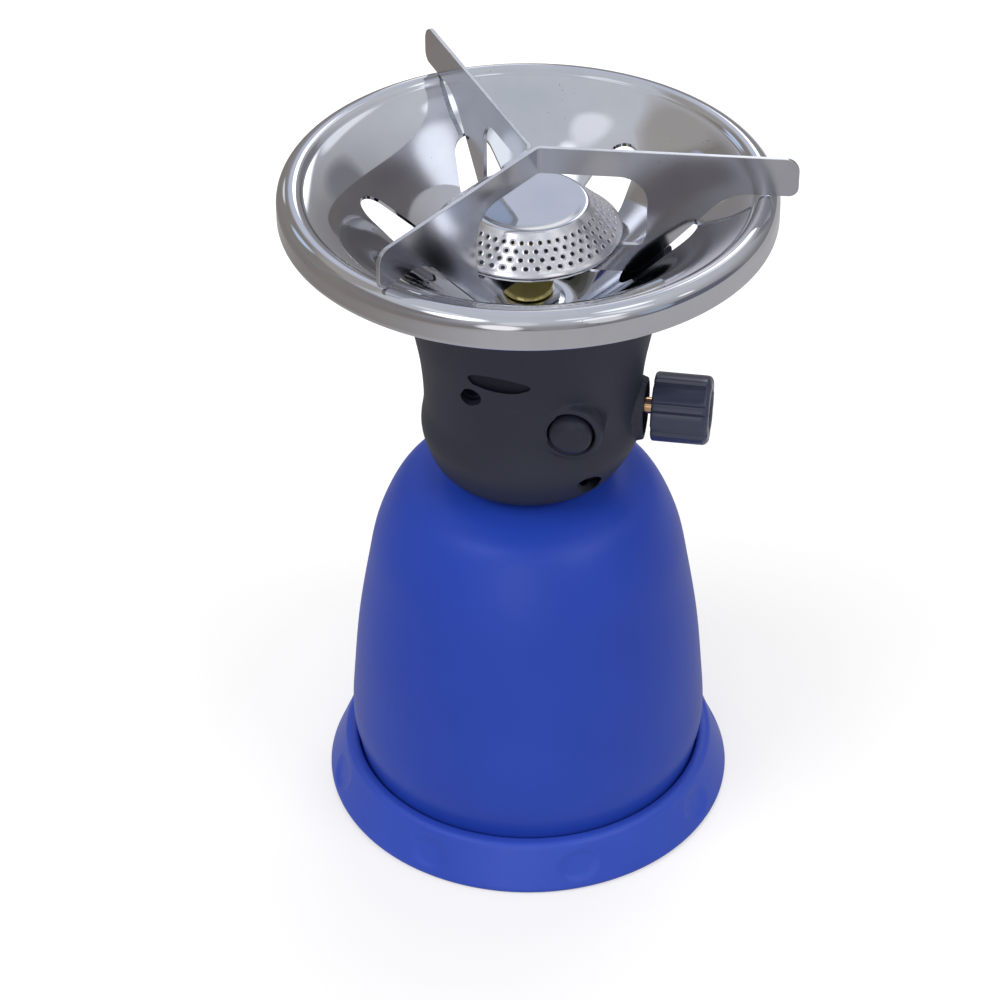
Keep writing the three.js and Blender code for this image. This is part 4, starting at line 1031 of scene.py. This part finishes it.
def bent_strip(name, outline, corner, arrive, leave):
    """A strip on edge, bent at a corner: its outline is negative before it, positive after it."""
    turn = math.radians((leave - arrive + 180) % 360 - 180)
    reach = BEND_RADIUS * abs(math.tan(turn / 2))
    side = math.copysign(1, turn)
    first = math.radians(arrive)
    start_at = np.array(corner) - reach * heading(arrive)
    centre = start_at + side * BEND_RADIUS * np.array((-math.sin(first), math.cos(first)))
    vertices, faces = prism(outline, -SUPPORT_SHEET / 2, SUPPORT_SHEET / 2)
    made = bmesh.new()
    ours = [made.verts.new(vertex) for vertex in vertices]
    for face in faces:
        made.faces.new([ours[index] for index in face])
    for step in np.linspace(-reach, reach, 13):
        everything = made.verts[:] + made.edges[:] + made.faces[:]
        bmesh.ops.bisect_plane(
            made, geom=everything, dist=1e-5, plane_co=(step, 0, 0), plane_no=(1, 0, 0)
        )
    bmesh.ops.recalc_face_normals(made, faces=made.faces)
    for face in made.faces:
        face.material_index = 0 if abs(face.normal.z) > 0.7 else 1
    for vertex in made.verts:
        along, up, out = vertex.co
        share = min(max(along / reach / 2 + 0.5, 0), 1)
        way = first + turn * share
        ahead = np.array((math.cos(way), math.sin(way)))
        left = np.array((-ahead[1], ahead[0]))
        if share in (0, 1):
            spot = np.array(corner) + ahead * along
        else:
            spot = centre - side * BEND_RADIUS * left
        x, y = spot + left * out
        vertex.co = (x * MM, y * MM, up * MM)
    bmesh.ops.recalc_face_normals(made, faces=made.faces)
    mesh = bpy.data.meshes.new(name)
    made.to_mesh(mesh)
    made.free()
    smooth(mesh, 30)
    thing = stood(name, mesh)
    bevelled(thing, 0.12).material = 1
    return thing


def inward(corners):
    """An arm's corners as a strip meets them on its way in to the bend."""
    return [(-along, up, radius) for along, up, radius in corners][::-1]


zinc = plated(
    "zinc plate", (208, 209, 214), (194, 195, 202), 0.16, (40, 40, 40), 0.0000006,
    speck=0.8, spots=260,
)
cut_edge = plated("cut edge", (232, 234, 238), (196, 199, 205), 0.3, (700, 700, 90), 0.00003)

right_arm = arm_corners(4.8, 30.2, 71.3)
front_arm = inward(arm_corners(7.95, 27.5, 68.5))
pair = bent_strip(
    "support_v", fillet(right_arm + front_arm, 8), V_CORNER, V_AZIMUTHS[0] + 180, V_AZIMUTHS[1],
)
settle(pair, "support_pair", "head", "zinc_steel", zinc, cut_edge)

# The tab's middle plane and the third arm's cross a little beyond the burner's axis.
front_way, third_way = heading(V_AZIMUTHS[0]), heading(THIRD_AZIMUTH)
tab_origin = np.array(V_CORNER) + TAB_OFFSET * np.array((front_way[1], -front_way[0]))
crossing = np.linalg.solve(np.array((third_way, -front_way)).T, tab_origin)
third_corner = third_way * crossing[0]
third_arm = inward(arm_corners(7.5, 31, 74.9, -crossing[0], 5))
tab_low, tab_high = TAB_HEIGHTS
tab_corners = [
    (0.6, STRAP_UNDER, 0.3), (1.5, tab_low, 0.3), (TAB_END, tab_low, 0.6), (TAB_END, tab_high, 0.6),
    (1.5, tab_high, 0.3), (0.6, SUPPORT_TOP, 0.3),
]
third = bent_strip(
    "support_third", fillet(tab_corners + third_arm, 8), third_corner,
    THIRD_AZIMUTH + 180, V_AZIMUTHS[0],
)
settle(third, "support_single", "head", "zinc_steel", zinc, cut_edge)


# Valve housing: two black mouldings, parted in the plane of the knob and held by two screws.
# Collars stand out round the button and the spindle, and slots draw air for the mixer tube.
HOUSING_BOTTOM = 115.9
HOUSING_HEIGHT = 81
HOUSING_WIDE = 31
HOUSING_WALL = 2.2
HOUSING_BORE = 9.8
# Its own line from bottom to top: shares of its height and of its radius.
HOUSING_HEIGHTS = [0, 0.038, 0.1, 0.192, 0.306, 0.459, 0.612, 0.741, 0.926, 1]
HOUSING_RADII = [0.655, 0.842, 0.939, 1, 0.971, 0.997, 1.065, 1.125, 1.23, 1.272]
HOUSING_SWELL = 2.6
SWELL_RISE = 22
# The brim stands lower at the back and on the left, where air for the burner gets in:
# azimuth, height.
HOUSING_BRIM = [
    (0, 188.5), (12, 188.5), (34, 181.5), (188, 181.5), (214, 190), (330, 190), (360, 188.5),
]
BUTTON = (16.6, 147.6)
BUTTON_RING = (8.7, 29.3, 1.2)
BUTTON_BORE = 6.75
STEM_HEIGHT = 138.4
STEM_RING = (9.1, 34.3, 0.4)
STEM_BORE = 7.8
# Where each screw stands, how far its post reaches, and its hole's mouth: place, radius, depth.
SCREWS = [
    ((-12.2, 156.7), 24, (-11.3, 157.8), 2.9, -23),
    ((20.8, 123.8), 13, (20.9, 125.7), 3.2, -15.5),
]
PART_GAP = 0.15

housing_line = np.array(spline([
    (r * HOUSING_WIDE, HOUSING_BOTTOM + h * HOUSING_HEIGHT)
    for r, h in zip(HOUSING_RADII, HOUSING_HEIGHTS)
], 400))
bowl_inside = [bowl_wall(radius) for radius in np.linspace(13, 62, 80)]
under_bowl = np.array(beside(bowl_inside, -BOWL_SHEET - 0.3))


def housing_radius(z, angle):
    """The outer wall, which swells towards the knob."""
    rise = np.clip((z - HOUSING_BOTTOM) / SWELL_RISE, 0, 1)
    swell = HOUSING_SWELL * np.maximum(np.cos(angle), 0) ** 2 * rise ** 2 * (3 - 2 * rise)
    return np.interp(z, housing_line[:, 1], housing_line[:, 0]) + swell


def top_height(angle, inset):
    """The wall's top, under the bowl, at each angle."""
    up = np.linspace(175, 197, 441)[:, None]
    room = np.interp(housing_radius(up, angle) - inset, under_bowl[:, 0], under_bowl[:, 1]) - up
    brim = np.interp(np.degrees(angle) % 360, *zip(*HOUSING_BRIM))
    return np.minimum(up[np.argmax(room < 0, axis=0), 0], brim)


def blended(first, second, soft):
    """The nearer of two distances, with a fillet where they meet."""
    near = np.maximum(soft - np.abs(first - second), 0) / soft
    return np.minimum(first, second) - near * near * soft / 4


def stub(across, beyond, corner):
    """Distance to a round stub, from the distances past its side and past its face."""
    past = np.hypot(np.maximum(across + corner, 0), np.maximum(beyond + corner, 0))
    return np.minimum(np.maximum(across + corner, beyond + corner), 0) + past - corner


SIDES = 480
ROWS = 160
INNER_ROWS = 40
# The outer face is found by probing outwards from the plain wall, at each height and angle,
# for the last place that is inside the wall, the button's ring or the spindle's.
angles = np.linspace(0, 2 * np.pi, SIDES + 1)[:-1]
rising = np.linspace(0, 1, ROWS + 1)[:, None]
outer_z = HOUSING_BOTTOM + (top_height(angles, 0) - HOUSING_BOTTOM) * rising
plain_radius = housing_radius(outer_z, angles)
probes = np.linspace(-0.5, 13, 136)
probe_radius = plain_radius[..., None] + probes
probe_x = probe_radius * np.cos(angles)[:, None]
probe_y = probe_radius * np.sin(angles)[:, None]
probe_z = outer_z[..., None]
to_body = probe_radius - plain_radius[..., None]
ring_radius, ring_face, ring_corner = BUTTON_RING
from_button = np.hypot(probe_x - BUTTON[0], probe_z - BUTTON[1])
ring = stub(from_button - ring_radius, -probe_y - ring_face, ring_corner)
boss_radius, boss_face, boss_corner = STEM_RING
boss = stub(np.hypot(probe_y, probe_z - STEM_HEIGHT) - boss_radius, probe_x - boss_face, boss_corner)
ring = np.where(probe_y < 0, ring, 50)
boss = np.where(probe_x > 0, boss, 50)
distance = blended(blended(to_body, ring, 1.4), boss, 0.6)
inside = distance < 0
last = inside.shape[2] - 1 - np.argmax(inside[..., ::-1], axis=2)
last = np.minimum(last, inside.shape[2] - 2)
row_index, side_index = np.indices(last.shape)
here, beyond = distance[row_index, side_index, last], distance[row_index, side_index, last + 1]
share_out = np.clip(-here / np.maximum(beyond - here, 1e-6), 0, 1)
outer_radius = plain_radius + probes[last] + share_out * (probes[1] - probes[0])

# The inner face and the bore in the floor close the wall.
floor_top = HOUSING_BOTTOM + HOUSING_WALL
falling = np.linspace(1, 0, INNER_ROWS)[:, None]
inner_z = floor_top + (top_height(angles, HOUSING_WALL) - floor_top) * falling
thicker = np.where(inner_z < HOUSING_BOTTOM + 5, 2.2, 0.2)
inner_radius = housing_radius(inner_z, angles) - HOUSING_WALL - thicker
bore_radius = np.full((2, SIDES), HOUSING_BORE)
bore_z = np.array((floor_top, HOUSING_BOTTOM))[:, None] * np.ones(SIDES)
wall_radius = np.vstack([outer_radius, inner_radius, bore_radius])
wall_z = np.vstack([outer_z, inner_z, bore_z])
wall_xyz = np.stack([wall_radius * np.cos(angles), wall_radius * np.sin(angles), wall_z], axis=2)
shell = solid("housing_shell", skinned(wall_xyz.tolist(), True), sharp=40)


def rod(radius, start_at, end_at, sides=64, flare=0.0):
    """A round bar along +Y or +X between two points, wider by flare at its start."""
    start_at, end_at = Vector(start_at), Vector(end_at)
    axis = (end_at - start_at).normalized()
    turn = axis.to_track_quat("Z", "Y").to_matrix()
    length = (end_at - start_at).length
    outline = points(
        (0, 0), (radius + flare, 0), (radius, flare or 0.01), (radius, length), (0, length),
    )
    vertices, faces = turned(outline, sides)
    return [tuple(turn @ Vector(v) + start_at) for v in vertices], faces


def button_rod(radius, start_at, end_at, sides=64, flare=0.0, nudge=(0, 0)):
    """A round bar in the line of the button, between two depths."""
    x, z = BUTTON[0] + nudge[0], BUTTON[1] + nudge[1]
    return rod(radius, (x, start_at, z), (x, end_at, z), sides, flare)


posts = solid("housing_posts", *[
    rod(4, (x, -reach, z), (x, reach, z)) for (x, z), reach, *mouth in SCREWS
])
carved(shell, "UNION", posts, solid("button_sleeve", button_rod(8.9, -24, -12)))

SLOT = [
    (-8.8, 1.4), (-8.0, 2.3), (-5.5, 2.6), (-2.7, 2.65), (-0.1, 2.5), (2.6, 2.3), (5.3, 2.0),
    (8.4, 1.6), (9.8, 0.8), (8.8, -0.2), (5.9, -1.6), (2.7, -2.2), (-0.7, -2.2), (-3.9, -1.7),
    (-7.3, -0.6),
]
SLOT_HEIGHT = 164.3
SLOT_FACE = 32.6
SLOT_FLOOR = 30.6
SLOT_DROP = 0.72


def slot_punch(azimuth, slew):
    """A lens-shaped recess at an azimuth, which runs inwards down and to one side."""
    vertices, faces = prism(fillet([(x, y, 0.9) for x, y in SLOT], 3), SLOT_FLOOR, 46)
    sheared = []
    for across, up, out in vertices:
        past = out - SLOT_FACE
        sheared.append((out, across + past * slew, up + past * SLOT_DROP + SLOT_HEIGHT))
    return swung((sheared, faces), azimuth)


# Air slots, the button's bore, its guide and its flared mouth, the spindle's bore, then each
# screw's room and hole, and the wider mouths of those.
punches = [
    slot_punch(-96, 0.28), slot_punch(84, -0.28),
    button_rod(BUTTON_BORE, -36, -15.63, 72, nudge=(0.01, 0.013)),
    button_rod(5.8, -16.2, -6),
    button_rod(6.65, -29.45, -26, 72, flare=0.75),
    rod(STEM_BORE, (40, 0, STEM_HEIGHT), (26, 0, STEM_HEIGHT)),
]
for (x, z), *rest in SCREWS:
    punches += [rod(2.5, (x, -40, z), (x, -10.1, z)), rod(1.5, (x, -10.3, z), (x, 6, z), 24)]
for *post, (x, z), radius, depth in SCREWS:
    punches.append(rod(radius, (x, -40, z), (x, depth, z)))
cutters = [solid("punch_%d" % index, punch) for index, punch in enumerate(punches)]
carved(shell, "DIFFERENCE", *cutters)

slate = moulded("slate black plastic", (44, 47, 61), (37, 40, 53), 0.5, 1800, 0.00006)
# A darker copy of the same plastic, for painted shade inside the air slots.
slate_painted_shade = moulded("slate black recess", (25, 29, 40), (21, 25, 35), 0.65, 1800, 0.00006)
for name, side in (("housing_front", -1), ("housing_rear", 1)):
    half = stood(name + "_moulding", shell.data.copy())
    low, high = sorted((side * PART_GAP, side * 80))
    block = prism([(-80, low), (80, low), (80, high), (-80, high)], 100, 230)
    carved(half, "INTERSECT", solid("half_block", block))
    smooth(half.data, 38)
    settle(half, name, "head", "housing_plastic", slate, slate_painted_shade)
    # Faces inside the air slots take the darker copy of the plastic: painted shade.
    for polygon in half.data.polygons:
        x, y, z = (v / MM for v in polygon.center)
        under_face = housing_radius(z, math.atan2(y, x)) - 0.2
        if 160 < z < 169 and abs(x) < 13 and 29 < math.hypot(x, y) < under_face:
            polygon.material_index = 1
bpy.data.objects.remove(shell)


# Housing screws: plated pan heads with a cross recess, deep in their holes. They hold the
# rear half to the front half.
painted(nut_steel, "housing_screw_upper", "housing_screw_lower")


# Igniter: a sealed piezo block with a plunger, worked by a domed button in the front half,
# and a lead to the electrode that stands in a ceramic sleeve beside the burner.
painted(gloss_black, "igniter_body", "igniter_plunger")
painted(rubber, "igniter_lead")
glazed = moulded("glazed ceramic", (236, 233, 226), (228, 224, 215), 0.22, 400, 0.00001)
painted(glazed, "electrode_insulator")

BUTTON_RADIUS = 6.1
BUTTON_BACK, BUTTON_SIDE, BUTTON_FACE = 24, 30.6, 31.9
button_outline = fillet([
    (0, BUTTON_BACK, 0), (BUTTON_RADIUS, BUTTON_BACK, 0.3), (BUTTON_RADIUS, BUTTON_SIDE, 2.6),
    (3.6, BUTTON_FACE, 3.0), (0, BUTTON_FACE, 0),
], 8)
button_black = moulded("button plastic", (40, 43, 57), (34, 37, 50), 0.36, 1500, 0.00004)
button = solid("igniter_button_cap", turned(button_outline, 128), place=laid(*BUTTON, "X"))
settle(button, "igniter_button", "button", "knob_plastic", button_black)


low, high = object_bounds()
